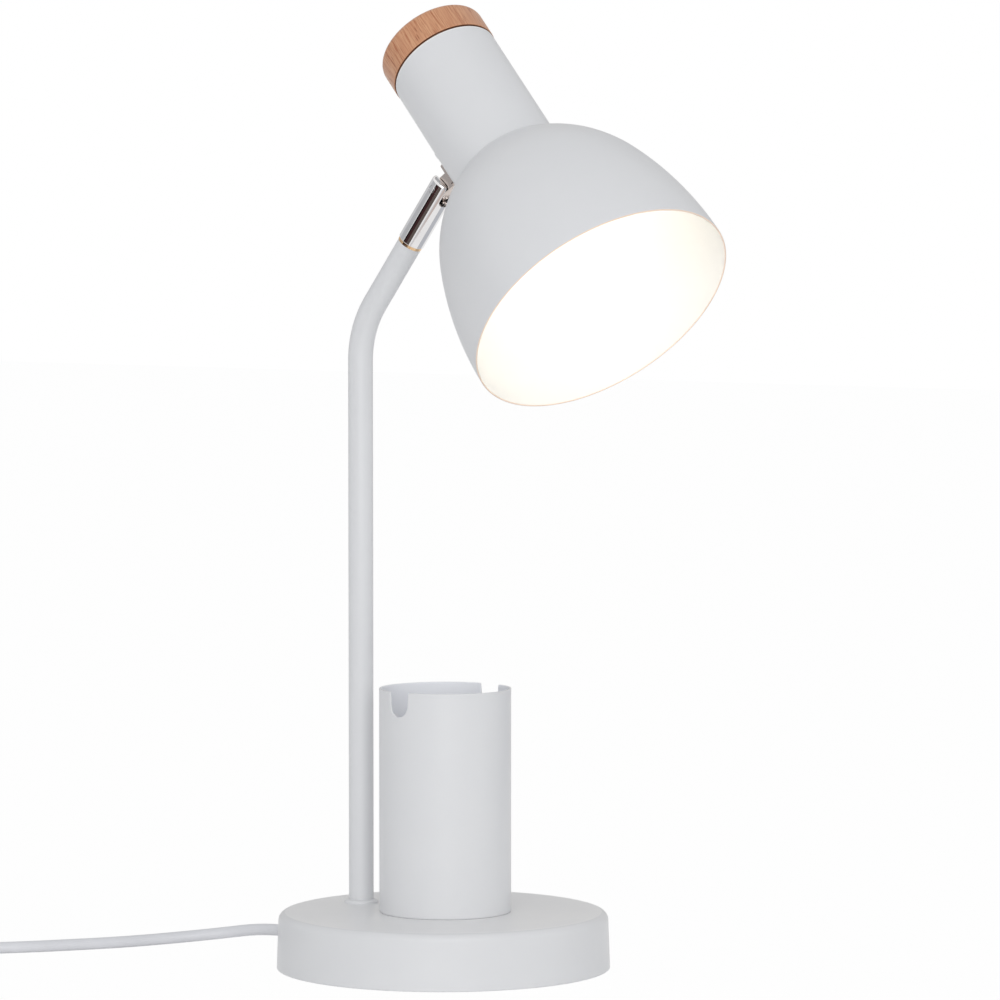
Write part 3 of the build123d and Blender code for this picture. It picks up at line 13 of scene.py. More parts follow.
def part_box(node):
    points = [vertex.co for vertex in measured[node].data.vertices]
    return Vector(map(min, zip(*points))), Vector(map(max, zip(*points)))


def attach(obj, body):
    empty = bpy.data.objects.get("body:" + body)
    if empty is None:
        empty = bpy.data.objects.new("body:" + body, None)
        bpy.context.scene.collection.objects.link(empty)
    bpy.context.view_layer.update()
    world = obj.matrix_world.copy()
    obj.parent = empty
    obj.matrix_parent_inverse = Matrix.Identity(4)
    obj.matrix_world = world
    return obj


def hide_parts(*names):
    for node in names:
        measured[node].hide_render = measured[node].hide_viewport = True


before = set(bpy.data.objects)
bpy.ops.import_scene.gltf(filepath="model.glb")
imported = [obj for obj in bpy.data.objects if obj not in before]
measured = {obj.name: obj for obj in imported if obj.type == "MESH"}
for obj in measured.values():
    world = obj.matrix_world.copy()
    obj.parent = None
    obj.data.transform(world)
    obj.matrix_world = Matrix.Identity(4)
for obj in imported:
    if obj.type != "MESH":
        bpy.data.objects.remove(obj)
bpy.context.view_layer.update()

scene = bpy.context.scene
MM = 0.001


def add_object(name, data):
    """A new object for some data, linked to the scene."""
    made = bpy.data.objects.new(name, data)
    scene.collection.objects.link(made)
    return made


# %% [markdown]
# ## The camera
# The photograph was taken from the front left with a long lens, so its straight lines stay
# almost parallel. A real camera's place, direction and focal length say all of that. They
# were worked out from the ellipses of the base, the cup and the shade, so the camera comes
# first: every later shape is judged through it.

# %% Camera
CAMERA_SPOT = (1586.7, -1986.8, 379.4)
CAMERA_TURN, CAMERA_PITCH = 38.0, 3.48
LENS, SENSOR, FARTHEST = 192.0, 36.0, 20.0


def add_camera():
    """Looks along a heading turned by CAMERA_TURN from +Y, tipped down by CAMERA_PITCH."""
    turn, pitch = np.radians(CAMERA_TURN), np.radians(CAMERA_PITCH)
    gaze = Vector((-np.sin(turn) * np.cos(pitch), np.cos(turn) * np.cos(pitch), -np.sin(pitch)))
    lens = bpy.data.cameras.new("studio_camera")
    lens.lens, lens.sensor_width, lens.clip_end = LENS, SENSOR, FARTHEST
    scene.camera = add_object("studio_camera", lens)
    scene.camera.location = Vector(CAMERA_SPOT) * MM
    scene.camera.rotation_euler = gaze.to_track_quat("-Z", "Y").to_euler()
    print("camera looks along", [round(part, 3) for part in gaze])


add_camera()

# %% [markdown]
# ## The lamp's frames
# A lamp like this is easiest to think of as a chain: the stem stands on the base, the arm
# leans from the stem, the knuckle turns about the arm and the head tilts in the knuckle.
# Each link gets a frame, which is an origin and three directions. A shape is drawn upright
# in its own frame, in millimetres, and `put` carries its points to their place.

# %% Frames
STEM_OFFSET = 51.0
BEND_CORNER = 305.7
BEND_ANGLE = 36.8
BEND_RADIUS = 46.0
ARM_LENGTH = 36.1
RING_HEIGHT = 1.4
PIN_HEIGHT = 30.5
HEAD_SWIVEL = -9.13
HEAD_TILT = -81.59
PIN_TO_HEAD = 40.15
PIN_ABOVE_MOUTH = 118.2


def turned_by(vector, axis, degrees):
    """Rodrigues' formula: the part along the axis stays, the rest turns by the angle."""
    vector, axis = np.asarray(vector, float), np.asarray(axis, float)
    angle = np.radians(degrees)
    along = axis * (axis @ vector)
    return along + (vector - along) * np.cos(angle) + np.cross(axis, vector) * np.sin(angle)


def frame_at(origin, x_way, z_way):
    """An origin and the three unit directions of a right-handed frame, as rows."""
    x_way, z_way = np.asarray(x_way, float), np.asarray(z_way, float)
    x_way, z_way = x_way / np.linalg.norm(x_way), z_way / np.linalg.norm(z_way)
    return np.asarray(origin, float), np.stack([x_way, np.cross(z_way, x_way), z_way])


def put(points, place):
    """Carries points drawn in a frame to the lamp's own frame."""
    origin, ways = place
    return origin + np.asarray(points, float) @ ways


up = np.array([0.0, 0.0, 1.0])
bend = np.radians(BEND_ANGLE)
arm_way = np.array([np.sin(bend), 0.0, np.cos(bend)])
bend_start = BEND_CORNER - BEND_RADIUS * np.tan(bend / 2)
bend_end = np.array(
    [-STEM_OFFSET + BEND_RADIUS * (1 - np.cos(bend)), 0, bend_start + BEND_RADIUS * np.sin(bend)]
)
barrel_foot = bend_end + arm_way * ARM_LENGTH + arm_way * RING_HEIGHT
pin_spot = barrel_foot + arm_way * PIN_HEIGHT
across = turned_by([0, 1, 0], arm_way, HEAD_SWIVEL)
head_way = turned_by(arm_way, across, HEAD_TILT)
head_front = np.cross(across, head_way)
mouth = pin_spot + head_front * PIN_TO_HEAD - head_way * PIN_ABOVE_MOUTH

BASE = frame_at([0, 0, 0], [1, 0, 0], up)
STEM_FOOT = frame_at([-STEM_OFFSET, 0, 0], [1, 0, 0], up)
BARREL = frame_at(barrel_foot, np.cross(across, arm_way), arm_way)
HEAD = frame_at(mouth, head_front, head_way)
print("mouth of the shade:", np.round(mouth, 2), "pin:", np.round(pin_spot, 2))

# %% [markdown]
# ## The route of the mains lead
# The lead is one thing from the base to the plug, so it is one curve. It leaves the back of
# the base, drops to the desk and wanders off to the left, then bends round to an in-line
# switch. What the picture does not show is put away in a tied coil, with the plug beside it.
# A NURBS curve of order 3 rounds every corner of a few listed points, as a soft lead
# does. A curve through the points would overshoot, and a polyline would kink.

# %% Lead route
CORD_DIAMETER, CORD_EXIT = 5.7, 9.0
IN_SWITCH, STRIPPED = 4.2, 0.4
LEAD_POINTS = [
    (-99.7, 0.0, CORD_EXIT),
    (-113.7, 0.0, CORD_EXIT),
    (-134.0, -8.5, 5.7),
    (-151.5, -25.0, 3.6),
    (-164.5, -46.5, 2.9),
    (-177.5, -68.5, 2.9),
    (-190.5, -88.0, 2.9),
    (-202.0, -102.2, 2.9),
    (-217.4, -109.5, 2.9),
    (-234.4, -109.3, 2.9),
    (-249.6, -101.8, IN_SWITCH),
    (-265.0, -82.1, IN_SWITCH),
]
SWITCH_REACH = 43.0
COIL_RADIUS, COIL_PITCH, COIL_LOW = 41.5, 6.15, 3.45
PLUG_HEIGHT = 6.9

lead_start = np.array(LEAD_POINTS)
heading = lead_start[-1] - lead_start[-2]
heading /= np.linalg.norm(heading)
sideways = np.cross(up, heading)
switch_middle = lead_start[-1] + heading * SWITCH_REACH
switch_end = switch_middle + heading * SWITCH_REACH


def steps_along(start, way, steps):
    """Points at the given distances along a heading, each at its own height."""
    steps = np.array(steps)
    points = start + way * steps[:, :1]
    points[:, 2] = steps[:, 1]
    return points


switch_inside = steps_along(lead_start[-1], heading, [(d, IN_SWITCH) for d in (16, 20, 66, 70)])
switch_run = steps_along(
    switch_end, heading, [(0, IN_SWITCH), (9, IN_SWITCH), (20, COIL_LOW), (29, COIL_LOW)]
)
coil_middle = switch_run[-1] + heading * CORD_DIAMETER + sideways * COIL_RADIUS


def coil_points(samples=8):
    """Half turns of a spiral: six draw in, one climbs a layer, and six widen again.
    Half turn k has its centre midway between its ends and sweeps 180 degrees,
    centre + start * cos(a) + bulge * sin(a). A curve of order 3 lies inside its
    control points by (3 + cos(step)) / 4, so the points stand that much further out."""
    step = np.arange(13)
    way = np.where(step % 2 == 0, 1.0, -1.0)
    radius = COIL_RADIUS - COIL_PITCH / 2 * np.where(step < 6, step, 12 - step)
    rise = np.where(step == 6, COIL_PITCH, 0.0)
    side = -COIL_RADIUS + np.concatenate([[0], np.cumsum(2 * way * radius)])
    low = np.concatenate([[0], np.cumsum(rise)])
    angle = (np.arange(samples) + 0.5) / samples * np.pi
    spread = 4 / (3 + np.cos(np.pi / samples))
    centre = (side[:-1] + side[1:]) / 2
    sideward = centre[:, None] - way[:, None] * radius[:, None] * spread * np.cos(angle)
    forward = way[:, None] * radius[:, None] * spread * np.sin(angle)
    height = low[:-1, None] + rise[:, None] * (1 - np.cos(angle)) / 2
    points = coil_middle + sideways * sideward[..., None]
    points = points + heading * forward[..., None] + up * height[..., None]
    return points.reshape(-1, 3), side[-1], low[-1]


coil, coil_side, coil_rise = coil_points()
coil_exit = coil_middle + sideways * coil_side + up * coil_rise - heading * CORD_DIAMETER
exit_steps = [(0, coil_exit[2]), (9, coil_exit[2]), (21, PLUG_HEIGHT), (30, PLUG_HEIGHT)]
plug_run = steps_along(coil_exit, -heading, exit_steps)
lead_route = np.concatenate([lead_start, switch_inside, switch_run, coil, plug_run])
lead_width = np.ones(len(lead_route))
lead_width[len(lead_start) + 1 : len(lead_start) + 3] = STRIPPED
PLUG = frame_at(plug_run[-1], sideways, -heading)
SWITCH = frame_at(switch_middle * [1, 1, 0], heading, up)
BUSHING = frame_at([0, 0, CORD_EXIT], [0, 1, 0], [-1, 0, 0])
print("lead: control points", len(lead_route), "plug starts at", np.round(plug_run[-1], 1))


# %% Lead as one tube
def add_lead(route, width):
    """A NURBS curve of order 3 through its first and last control points, with a round
    section. Its sheath is stripped off inside the switch, so it is narrow there."""
    curve = bpy.data.curves.new("mains_lead", "CURVE")
    curve.dimensions = "3D"
    spline = curve.splines.new("NURBS")
    spline.points.add(len(route) - 1)
    weighted = np.concatenate([route * MM, np.ones((len(route), 1))], axis=1)
    spline.points.foreach_set("co", weighted.ravel())
    spline.points.foreach_set("radius", width)
    spline.order_u = 3
    spline.use_endpoint_u = True
    curve.resolution_u = 6
    curve.bevel_depth = CORD_DIAMETER / 2 * MM
    curve.bevel_resolution = 5
    curve.use_fill_caps = True
    lead = add_object("mains_lead", curve)
    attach(lead, "base")
    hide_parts("cord_base_run", "cord_switch_run", "cord_coil", "cord_plug_run")
    return lead


lead = add_lead(lead_route, lead_width)

# %% [markdown]
# ## Surfaces from numbers
# Most of the lamp is spun, drawn or moulded, so most pieces are a grid of points: a profile
# turned round an axis, or a row of outlines stacked along one. numpy works out the whole
# grid at once. `add_piece` makes it a mesh, merges the poles and seams, points the faces
# outwards and marks the sharp edges, so each piece needs only its own formula.


# %% From grids of points to a piece
def grid_faces(rows, columns, wrap):
    """Corner numbers of the quads of a grid, and the same corners' row and column steps."""
    row, column = np.meshgrid(
        np.arange(rows - 1), np.arange(columns if wrap else columns - 1), indexing="ij"
    )
    row, column = row.ravel(), column.ravel()
    rows_of = np.stack([row, row, row + 1, row + 1], axis=1)
    columns_of = np.stack([column, column + 1, column + 1, column], axis=1)
    return rows_of * columns + columns_of % columns, rows_of, columns_of


def lengths_along(points, wrap):
    """Mean running length of a grid along its rows' direction, for its UV map."""
    steps = np.linalg.norm(np.diff(points, axis=1), axis=2).mean(axis=0)
    if wrap:
        closing = np.linalg.norm(points[:, 0] - points[:, -1], axis=1).mean()
        steps = np.append(steps, closing)
    return np.concatenate([[0], np.cumsum(steps)])


def read(items, name, width=3):
    """One property of many items, with width numbers for each."""
    values = np.empty(len(items) * width)
    items.foreach_get(name, values)
    return values.reshape(-1, width)


def taken_back(points, place):
    """The way back of put, from metres in the lamp's frame to millimetres in a piece's."""
    return (points / MM - place[0]) @ place[1].T


def repaint(piece, place, choose):
    """Gives each face the finish whose number choose works out from four measures in the
    piece's frame: distance from the axis, height, outward part and upward part of the normal."""
    mesh = piece.data
    spot = taken_back(read(mesh.polygons, "center"), place)
    facing = read(mesh.polygons, "normal") @ place[1].T
    radius = np.linalg.norm(spot[:, :2], axis=1)
    outward = (spot[:, :2] * facing[:, :2]).sum(axis=1) / radius
    number = np.asarray(choose(radius, spot[:, 2], outward, facing[:, 2])).astype(np.int32)
    mesh.polygons.foreach_set("material_index", number)
    print(piece.name, "faces per finish:", np.bincount(number).tolist())


def add_piece(name, patches, place, body, finishes, replaces=(), sharp=38.0, choose=None):
    """One mesh from several grids of points, shape (rows, columns, 3), in millimetres.
    A patch is (points, wrap), where wrap joins its last column to its first. With several
    finishes, choose says which faces get which."""
    corners, faces, uvs, first = [], [], [], 0
    for points, wrap in patches:
        quads, rows_of, columns_of = grid_faces(points.shape[0], points.shape[1], wrap)
        u_steps = lengths_along(points, wrap) * MM
        v_steps = lengths_along(points.transpose(1, 0, 2), False) * MM
        corners.append(put(points.reshape(-1, 3), place) * MM)
        faces.append(quads + first)
        uvs.append(np.stack([u_steps[columns_of], v_steps[rows_of]], axis=-1).reshape(-1, 2))
        first += points.shape[0] * points.shape[1]
    mesh = bpy.data.meshes.new(name)
    mesh.from_pydata(np.concatenate(corners), [], np.concatenate(faces))
    mesh.uv_layers.new(name="UVMap").uv.foreach_set("vector", np.concatenate(uvs).ravel())
    shape = bmesh.new()
    shape.from_mesh(mesh)
    bmesh.ops.remove_doubles(shape, verts=shape.verts, dist=1e-6)
    bmesh.ops.recalc_face_normals(shape, faces=shape.faces)
    shape.to_mesh(mesh)
    shape.free()
    mesh.polygons.foreach_set("use_smooth", np.ones(len(mesh.polygons), bool))
    mesh.set_sharp_from_angle(angle=np.radians(sharp))
    piece = add_object(name, mesh)
    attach(piece, body)
    if replaces:
        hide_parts(*replaces)
    for finish in finishes:
        mesh.materials.append(finish)
    open_edges = len(mesh.edges) * 2 - len(mesh.loops)
    print(name, "faces", len(mesh.polygons), "open edges", open_edges)
    if choose:
        repaint(piece, place, choose)
    return piece


# %% Profiles, turned shapes and stacked outlines
def rounded(corners, radii, steps=7):
    """Replaces each corner of a profile by an arc that is tangent to both sides. With the
    turn t and the radius r, the arc starts r * tan(t / 2) before the corner. A point a
    little outside each end of the arc keeps the flat beside it flat in the shading."""
    corners, radii = np.asarray(corners, float), np.asarray(radii, float)
    before, after = np.roll(corners, 1, axis=0), np.roll(corners, -1, axis=0)
    before[0], after[-1] = 2 * corners[0] - corners[1], 2 * corners[-1] - corners[-2]
    way_in, way_out = corners - before, after - corners
    way_in /= np.linalg.norm(way_in, axis=1, keepdims=True)
    way_out /= np.linalg.norm(way_out, axis=1, keepdims=True)
    turn = np.arccos(np.clip((way_in * way_out).sum(axis=1), -1, 1))
    back = (radii * np.tan(turn / 2))[:, None]
    start, end = corners - way_in * back, corners + way_out * back
    inward = way_out - way_in
    inward /= np.maximum(np.linalg.norm(inward, axis=1, keepdims=True), 1e-9)
    centre = corners + inward * (radii / np.cos(turn / 2))[:, None]
    share = np.linspace(0, 1, steps)[None, :, None]
    wide = np.maximum(turn, 1e-6)[:, None, None]
    from_start = np.sin((1 - share) * wide) / np.sin(wide)
    from_end = np.sin(share * wide) / np.sin(wide)
    bow = centre[:, None] + from_start * (start - centre)[:, None]
    bow = bow + from_end * (end - centre)[:, None]
    hold = (0.25 * radii)[:, None]
    line = [(start - way_in * hold)[:, None], bow, (end + way_out * hold)[:, None]]
    line = np.concatenate(line, axis=1).reshape(-1, 2)
    moved = np.linalg.norm(np.diff(line, axis=0), axis=1) > 1e-6
    return line[np.concatenate([[True], moved])]


def full_turn(sides):
    """Evenly spaced angles round a circle, as one row."""
    return np.linspace(0, 2 * np.pi, sides, endpoint=False)[None, :]


def arc(centre, radius, start, end, steps):
    """Points on an arc of a circle, or of an ellipse when the radius is a pair."""
    turn = np.linspace(start, end, steps)
    return centre + np.stack([np.cos(turn), np.sin(turn)], axis=1) * radius


def closed_line(line):
    """A profile that ends where it starts."""
    return np.concatenate([line, line[:1]])


def spun(profile, sides=160, ribs=None):
    """A profile of (radius, height) carried round the axis: (r cos t, r sin t, h).
    ribs(t, r) may be added to the radius."""
    angle = full_turn(sides)
    radius, height = profile[:, :1], profile[:, 1:]
    if ribs:
        radius = radius + ribs(angle, radius)
    level = height + 0 * angle
    return np.stack([radius * np.cos(angle), radius * np.sin(angle), level], axis=-1), True


def stacked(rows, per_corner=10):
    """Rounded rectangles stacked along an axis, one per row of (half x, half y, corner
    radius, height). Each is four quarter circles round the corners' centres; where the
    radius reaches both halves it is a circle, and where they are 0 it is a pole."""
    rows = np.asarray(rows, float)
    quarter = np.linspace(0, np.pi / 2, per_corner)
    angle = (quarter[None, :] + np.arange(4)[:, None] * np.pi / 2).ravel()
    sign_x = np.repeat([1, -1, -1, 1], per_corner)
    sign_y = np.repeat([1, 1, -1, -1], per_corner)
    half_x, half_y, corner, height = rows.T[:, :, None]
    corner = np.minimum(corner, np.minimum(half_x, half_y))
    x = sign_x * (half_x - corner) + corner * np.cos(angle)
    y = sign_y * (half_y - corner) + corner * np.sin(angle)
    return np.stack([x, y, height + 0 * x], axis=-1), True


# %% [markdown]
# ## Finishes, as small recipes that are shared
# Real finishes differ in a few ways only: how coarse the surface is, how even its colour
# is, and whether it has a direction. Each of those effects is a node group with named
# inputs, and a material places it with its own values. The groups give masks and heights,
# and the shader itself stays in the material.


# %% Node helpers
def start_group(name, inputs, outputs):
    """An empty shader node group with named sockets, all of them numbers but the vector."""
    tree = bpy.data.node_groups.new(name, "ShaderNodeTree")
    for label, value in inputs.items():
        kind = "NodeSocketVector" if value is None else "NodeSocketFloat"
        socket = tree.interface.new_socket(label, in_out="INPUT", socket_type=kind)
        if value is not None:
            socket.default_value = value
    for label in outputs:
        tree.interface.new_socket(label, in_out="OUTPUT", socket_type="NodeSocketFloat")
    return tree, tree.nodes.new("NodeGroupInput").outputs, tree.nodes.new("NodeGroupOutput")


def add_node(tree, kind, links=None, **settings):
    """A node with its settings, and its inputs set to values or joined to sockets."""
    node = tree.nodes.new(kind)
    for label, value in settings.items():
        setattr(node, label, value)
    for label, value in (links or {}).items():
        if isinstance(value, bpy.types.NodeSocket):
            tree.links.new(value, node.inputs[label])
        else:
            node.inputs[label].default_value = value
    return node


def join(tree, node, **sources):
    """Joins sockets to a node's inputs, with underscores in the names read as spaces."""
    for label, source in sources.items():
        tree.links.new(source, node.inputs[label.replace("_", " ")])


def do_math(tree, operation, first, second=0.5, third=None):
    """One Math node, whose inputs are numbers or sockets."""
    links = {0: first, 1: second}
    if third is not None:
        links[2] = third
    return add_node(tree, "ShaderNodeMath", links, operation=operation).outputs[0]


def remap(tree, value, low, high, to_low=0.0, to_high=1.0):
    """Stretches low..high to to_low..to_high, and holds it there outside."""
    ends = {"From Min": low, "From Max": high, "To Min": to_low, "To Max": to_high}
    return add_node(tree, "ShaderNodeMapRange", {"Value": value, **ends}).outputs["Result"]


def stretched(tree, vector, by):
    """A vector times another, part by part."""
    links = {0: vector, 1: by}
    return add_node(tree, "ShaderNodeVectorMath", links, operation="MULTIPLY").outputs[0]


def noise(tree, vector, scale, detail, roughness=0.5):
    """The value of one noise texture."""
    links = {"Vector": vector, "Scale": scale, "Detail": detail, "Roughness": roughness}
    return add_node(tree, "ShaderNodeTexNoise", links).outputs[0]


# %% Powder grain: the fine orange peel of baked powder
def make_powder_grain():
    """Two sizes of noise: soft lumps of under a millimetre, and finer grains on them."""
    tree, given, made = start_group(
        "powder_grain", {"Vector": None, "Lumps per metre": 900.0}, ["Height", "Fleck"]
    )
    vector, size = given["Vector"], given["Lumps per metre"]
    lumps = noise(tree, vector, size, 1.0)
    grains = noise(tree, vector, do_math(tree, "MULTIPLY", size, 3.7), 2.0)
    height = do_math(tree, "MULTIPLY_ADD", grains, 0.35, lumps)
    join(tree, made, Height=height, Fleck=remap(tree, grains, 0.62, 0.75))
    return tree


POWDER_GRAIN = make_powder_grain()


# %% Handling: broad, faint unevenness
def make_handling():
    """Slow noise over centimetres, in two octaves: where hands, cloths and dust have been."""
    tree, given, made = start_group(
        "handling", {"Vector": None, "Patches per metre": 30.0}, ["Amount"]
    )
    broad = noise(tree, given["Vector"], given["Patches per metre"], 4.0, 0.6)
    join(tree, made, Amount=remap(tree, broad, 0.3, 0.7))
    return tree


HANDLING = make_handling()


# %% Hairlines: what polishing and turning leave in metal
def make_hairlines():
    """Noise squeezed across the Z axis and drawn out along it, so it breaks into fine lines."""
    tree, given, made = start_group(
        "hairlines", {"Vector": None, "Lines per metre": 4000.0, "Stretch": 0.02}, ["Line"]
    )
    squeeze = add_node(
        tree, "ShaderNodeCombineXYZ", {"X": 1.0, "Y": 1.0, "Z": given["Stretch"]}
    )
    drawn = stretched(tree, given["Vector"], squeeze.outputs[0])
    lines = noise(tree, drawn, given["Lines per metre"], 3.0, 0.7)
    join(tree, made, Line=remap(tree, lines, 0.35, 0.65))
    return tree


HAIRLINES = make_hairlines()


# %% Grit: the pitted skin of cast iron, foam and moulded plastic
def make_grit():
    """Rounded cells from a smooth Voronoi pattern, broken up by noise."""
    tree, given, made = start_group(
        "grit", {"Vector": None, "Grains per metre": 1500.0}, ["Height", "Pit"]
    )
    place = {"Vector": given["Vector"], "Scale": given["Grains per metre"]}
    cells = add_node(tree, "ShaderNodeTexVoronoi", place, feature="SMOOTH_F1")
    broken = noise(tree, place["Vector"], place["Scale"], 3.0)
    height = do_math(tree, "MULTIPLY_ADD", broken, 0.6, cells.outputs["Distance"])
    join(tree, made, Height=height, Pit=remap(tree, height, 0.45, 0.8, 1.0, 0.0))
    return tree


GRIT = make_grit()


# %% Wood figure: bands, streaks and pores that run along the grain
def make_wood_figure():
    """The grain runs along Z. Slow noise bends a set of growth bands, finer stretched noise
    draws the streaks in them, and short stretched cells make the dark pores."""
    tree, given, made = start_group(
        "wood_figure", {"Vector": None, "Bands per metre": 700.0}, ["Band", "Streak", "Pore"]
    )

    def drawn_out(amount):
        return stretched(tree, given["Vector"], (1.0, 1.0, amount))

    sway = noise(tree, drawn_out(0.25), 60.0, 2.0)
    parts = add_node(tree, "ShaderNodeSeparateXYZ", {"Vector": given["Vector"]}).outputs
    slope = do_math(tree, "MULTIPLY_ADD", parts["Y"], 0.35, parts["X"])
    steps = do_math(tree, "MULTIPLY", slope, given["Bands per metre"])
    wave = do_math(tree, "SINE", do_math(tree, "MULTIPLY_ADD", sway, 9.0, steps), 0.0)
    streaks = noise(tree, drawn_out(0.06), 1300.0, 4.0, 0.7)
    cells = add_node(tree, "ShaderNodeTexVoronoi", {"Vector": drawn_out(0.12), "Scale": 1100.0})
    small = remap(tree, cells.outputs["Distance"], 0.14, 0.32, 1.0, 0.0)
    patchy = remap(tree, noise(tree, drawn_out(0.2), 170.0, 1.0), 0.46, 0.58, 0.0, 0.8)
    join(tree, made, Pore=do_math(tree, "MULTIPLY", small, patchy))
    join(tree, made, Streak=remap(tree, streaks, 0.44, 0.64))
    join(tree, made, Band=remap(tree, wave, -1.0, 1.0, 0.0, 0.55))
    return tree


WOOD_FIGURE = make_wood_figure()

# %% [markdown]
# ## Materials
# A material starts from the shader's plain settings: metallic, roughness, coat, emission.
# `mixed` then lets a mask move the colour a little, and `finished` lets one move the
# roughness and adds the relief. Numbers that are the same all over stay on the shader's
# own sockets.


# %% Material helpers
def start_material(name, **sockets):
    """A Principled material with plain values on its own sockets. Returns the material,
    its tree and the Object coordinates that patterns read."""
    material = bpy.data.materials.new(name)
    material.use_nodes = True
    tree = material.node_tree
    for label, value in sockets.items():
        socket = tree.nodes["Principled BSDF"].inputs[label.replace("_", " ")]
        socket.default_value = (*value, 1.0) if isinstance(value, tuple) else value
    return material, tree, add_node(tree, "ShaderNodeTexCoord").outputs["Object"]


def use_group(tree, group, **inputs):
    """Places a node group, with underscores in the input names read as spaces."""
    links = {label.replace("_", " "): value for label, value in inputs.items()}
    return add_node(tree, "ShaderNodeGroup", links, node_tree=group).outputs


def mixed(tree, mask, low, high):
    """A colour that goes from low, where the mask is 0, to high, where it is 1."""
    node = add_node(tree, "ShaderNodeMix", {"Factor": mask}, data_type="RGBA")
    for socket, colour in ((node.inputs[6], low), (node.inputs[7], high)):
        if isinstance(colour, bpy.types.NodeSocket):
            tree.links.new(colour, socket)
        else:
            socket.default_value = (*colour, 1.0)
    return node.outputs[2]


def finished(material, tone, mask, low, high, height, depth):
    """Joins a colour, a roughness that goes from low to high with the mask, and a relief
    whose depth is its real height in millimetres."""
    tree = material.node_tree
    relief = {"Strength": 1.0, "Distance": depth * MM, "Height": height}
    bump = add_node(tree, "ShaderNodeBump", relief).outputs[0]
    gloss = remap(tree, mask, 0.0, 1.0, low, high)
    join(tree, tree.nodes["Principled BSDF"], Base_Color=tone, Roughness=gloss, Normal=bump)
    return material


# %% Powder coat, and copies of it that paint light and shade
def make_powder_coat(name, colour, shade_of, roughness, peel=0.012):
    """Satin paint with orange peel: the broad patches shift its tone and gloss a little."""
    material, tree, spot = start_material(name, Specular_IOR_Level=0.35)
    grain = use_group(tree, POWDER_GRAIN, Vector=spot)
    touch = use_group(tree, HANDLING, Vector=spot, Patches_per_metre=22.0)["Amount"]
    tone = mixed(tree, touch, colour, shade_of)
    fleck = mixed(tree, grain["Fleck"], tone, tuple(v * 1.02 for v in colour))
    gloss = roughness - 0.04, roughness + 0.05
    return finished(material, fleck, touch, *gloss, grain["Height"], peel)


POWDER_WHITE = make_powder_coat("powder_white", (0.74, 0.745, 0.755), (0.725, 0.73, 0.742), 0.36)
# A smoother, glossier coat for level tops, whose lighter colour is painted light.
POWDER_TOP_GLOSS_AND_PAINTED_LIGHT = make_powder_coat(
    "powder_top_gloss_and_painted_light", (0.83, 0.83, 0.835), (0.815, 0.815, 0.82), 0.33, peel=0.002
)
# A lighter, cooler copy of the coat for the cup's inside: painted light.
PAINTED_LIT_CUP_LINING = make_powder_coat("cup_lining_painted_light", (0.90, 0.91, 0.94), (0.885, 0.895, 0.925), 0.45)
# A whiter copy of the coat, painted light: the shade's inside, and the neck's top band as a
# painted highlight.
PAINTED_LIGHT_WHITE = make_powder_coat("painted_light_white", (0.86, 0.855, 0.84), (0.84, 0.835, 0.82), 0.5)
# A warm copy of the coat for the shade's lip: a painted glow of the bulb's light.
PAINTED_BULB_GLOW = make_powder_coat("painted_bulb_glow", (0.93, 0.76, 0.64), (0.91, 0.74, 0.62), 0.5)
# A dark brown copy of the coat for the gap under the cap: painted shade.
PAINTED_GAP_SHADE = make_powder_coat("painted_gap_shade", (0.20, 0.085, 0.045), (0.15, 0.06, 0.03), 0.6)


# %% Beech for the cap
def make_beech():
    """The pattern is turned so that its Z runs along the head, as the grain does."""
    material, tree, spot = start_material(
        "beech", Coat_Weight=0.22, Coat_Roughness=0.25, Specular_IOR_Level=0.35
    )
    links = {"Vector": spot, "Rotation": Matrix(HEAD[1]).to_euler()}
    along = add_node(tree, "ShaderNodeMapping", links, vector_type="POINT").outputs[0]
    figure = use_group(tree, WOOD_FIGURE, Vector=along)
    tone = mixed(tree, figure["Streak"], (0.65, 0.35, 0.195), (0.41, 0.14, 0.06))
    tone = mixed(tree, figure["Band"], tone, (0.565, 0.265, 0.14))
    tone = mixed(tree, figure["Pore"], tone, (0.26, 0.08, 0.04))
    sunk = do_math(tree, "SUBTRACT", figure["Streak"], figure["Pore"])
    return finished(material, tone, figure["Pore"], 0.42, 0.7, sunk, 0.02)


BEECH = make_beech()


# %% Metals
def make_metal(name, colour, worn, roughness, spread, lines=4000.0, depth=0.002):
    """Bare metal: hairlines spread its roughness and tint it slightly, and barely raise it."""
    material, tree, spot = start_material(name, Metallic=1.0)
    hair = use_group(tree, HAIRLINES, Vector=spot, Lines_per_metre=lines)["Line"]
    touch = use_group(tree, HANDLING, Vector=spot, Patches_per_metre=90.0)["Amount"]
    both = do_math(tree, "MULTIPLY", hair, touch)
    tone = mixed(tree, both, colour, worn)
    return finished(material, tone, both, roughness, roughness + spread, hair, depth)


CHROME = make_metal("chrome", (0.80, 0.79, 0.79), (0.72, 0.71, 0.71), 0.05, 0.08, depth=0.0004)
NICKEL = make_metal("nickel", (0.62, 0.55, 0.51), (0.54, 0.47, 0.43), 0.16, 0.1, depth=0.001)
BRASS = make_metal("brass", (0.80, 0.56, 0.33), (0.68, 0.45, 0.25), 0.18, 0.15)
ZINC = make_metal("zinc_plate", (0.60, 0.61, 0.62), (0.47, 0.48, 0.49), 0.3, 0.2, lines=1500.0)


def make_cast_iron():
    """Grey iron from a sand mould: coarse pits, rust-brown where they are deepest."""
    material, tree, spot = start_material("cast_iron", Metallic=0.6)
    grit = use_group(tree, GRIT, Vector=spot, Grains_per_metre=900.0)
    tone = mixed(tree, grit["Pit"], (0.13, 0.13, 0.135), (0.085, 0.06, 0.045))
    return finished(material, tone, grit["Pit"], 0.6, 0.85, grit["Height"], 0.12)


CAST_IRON = make_cast_iron()


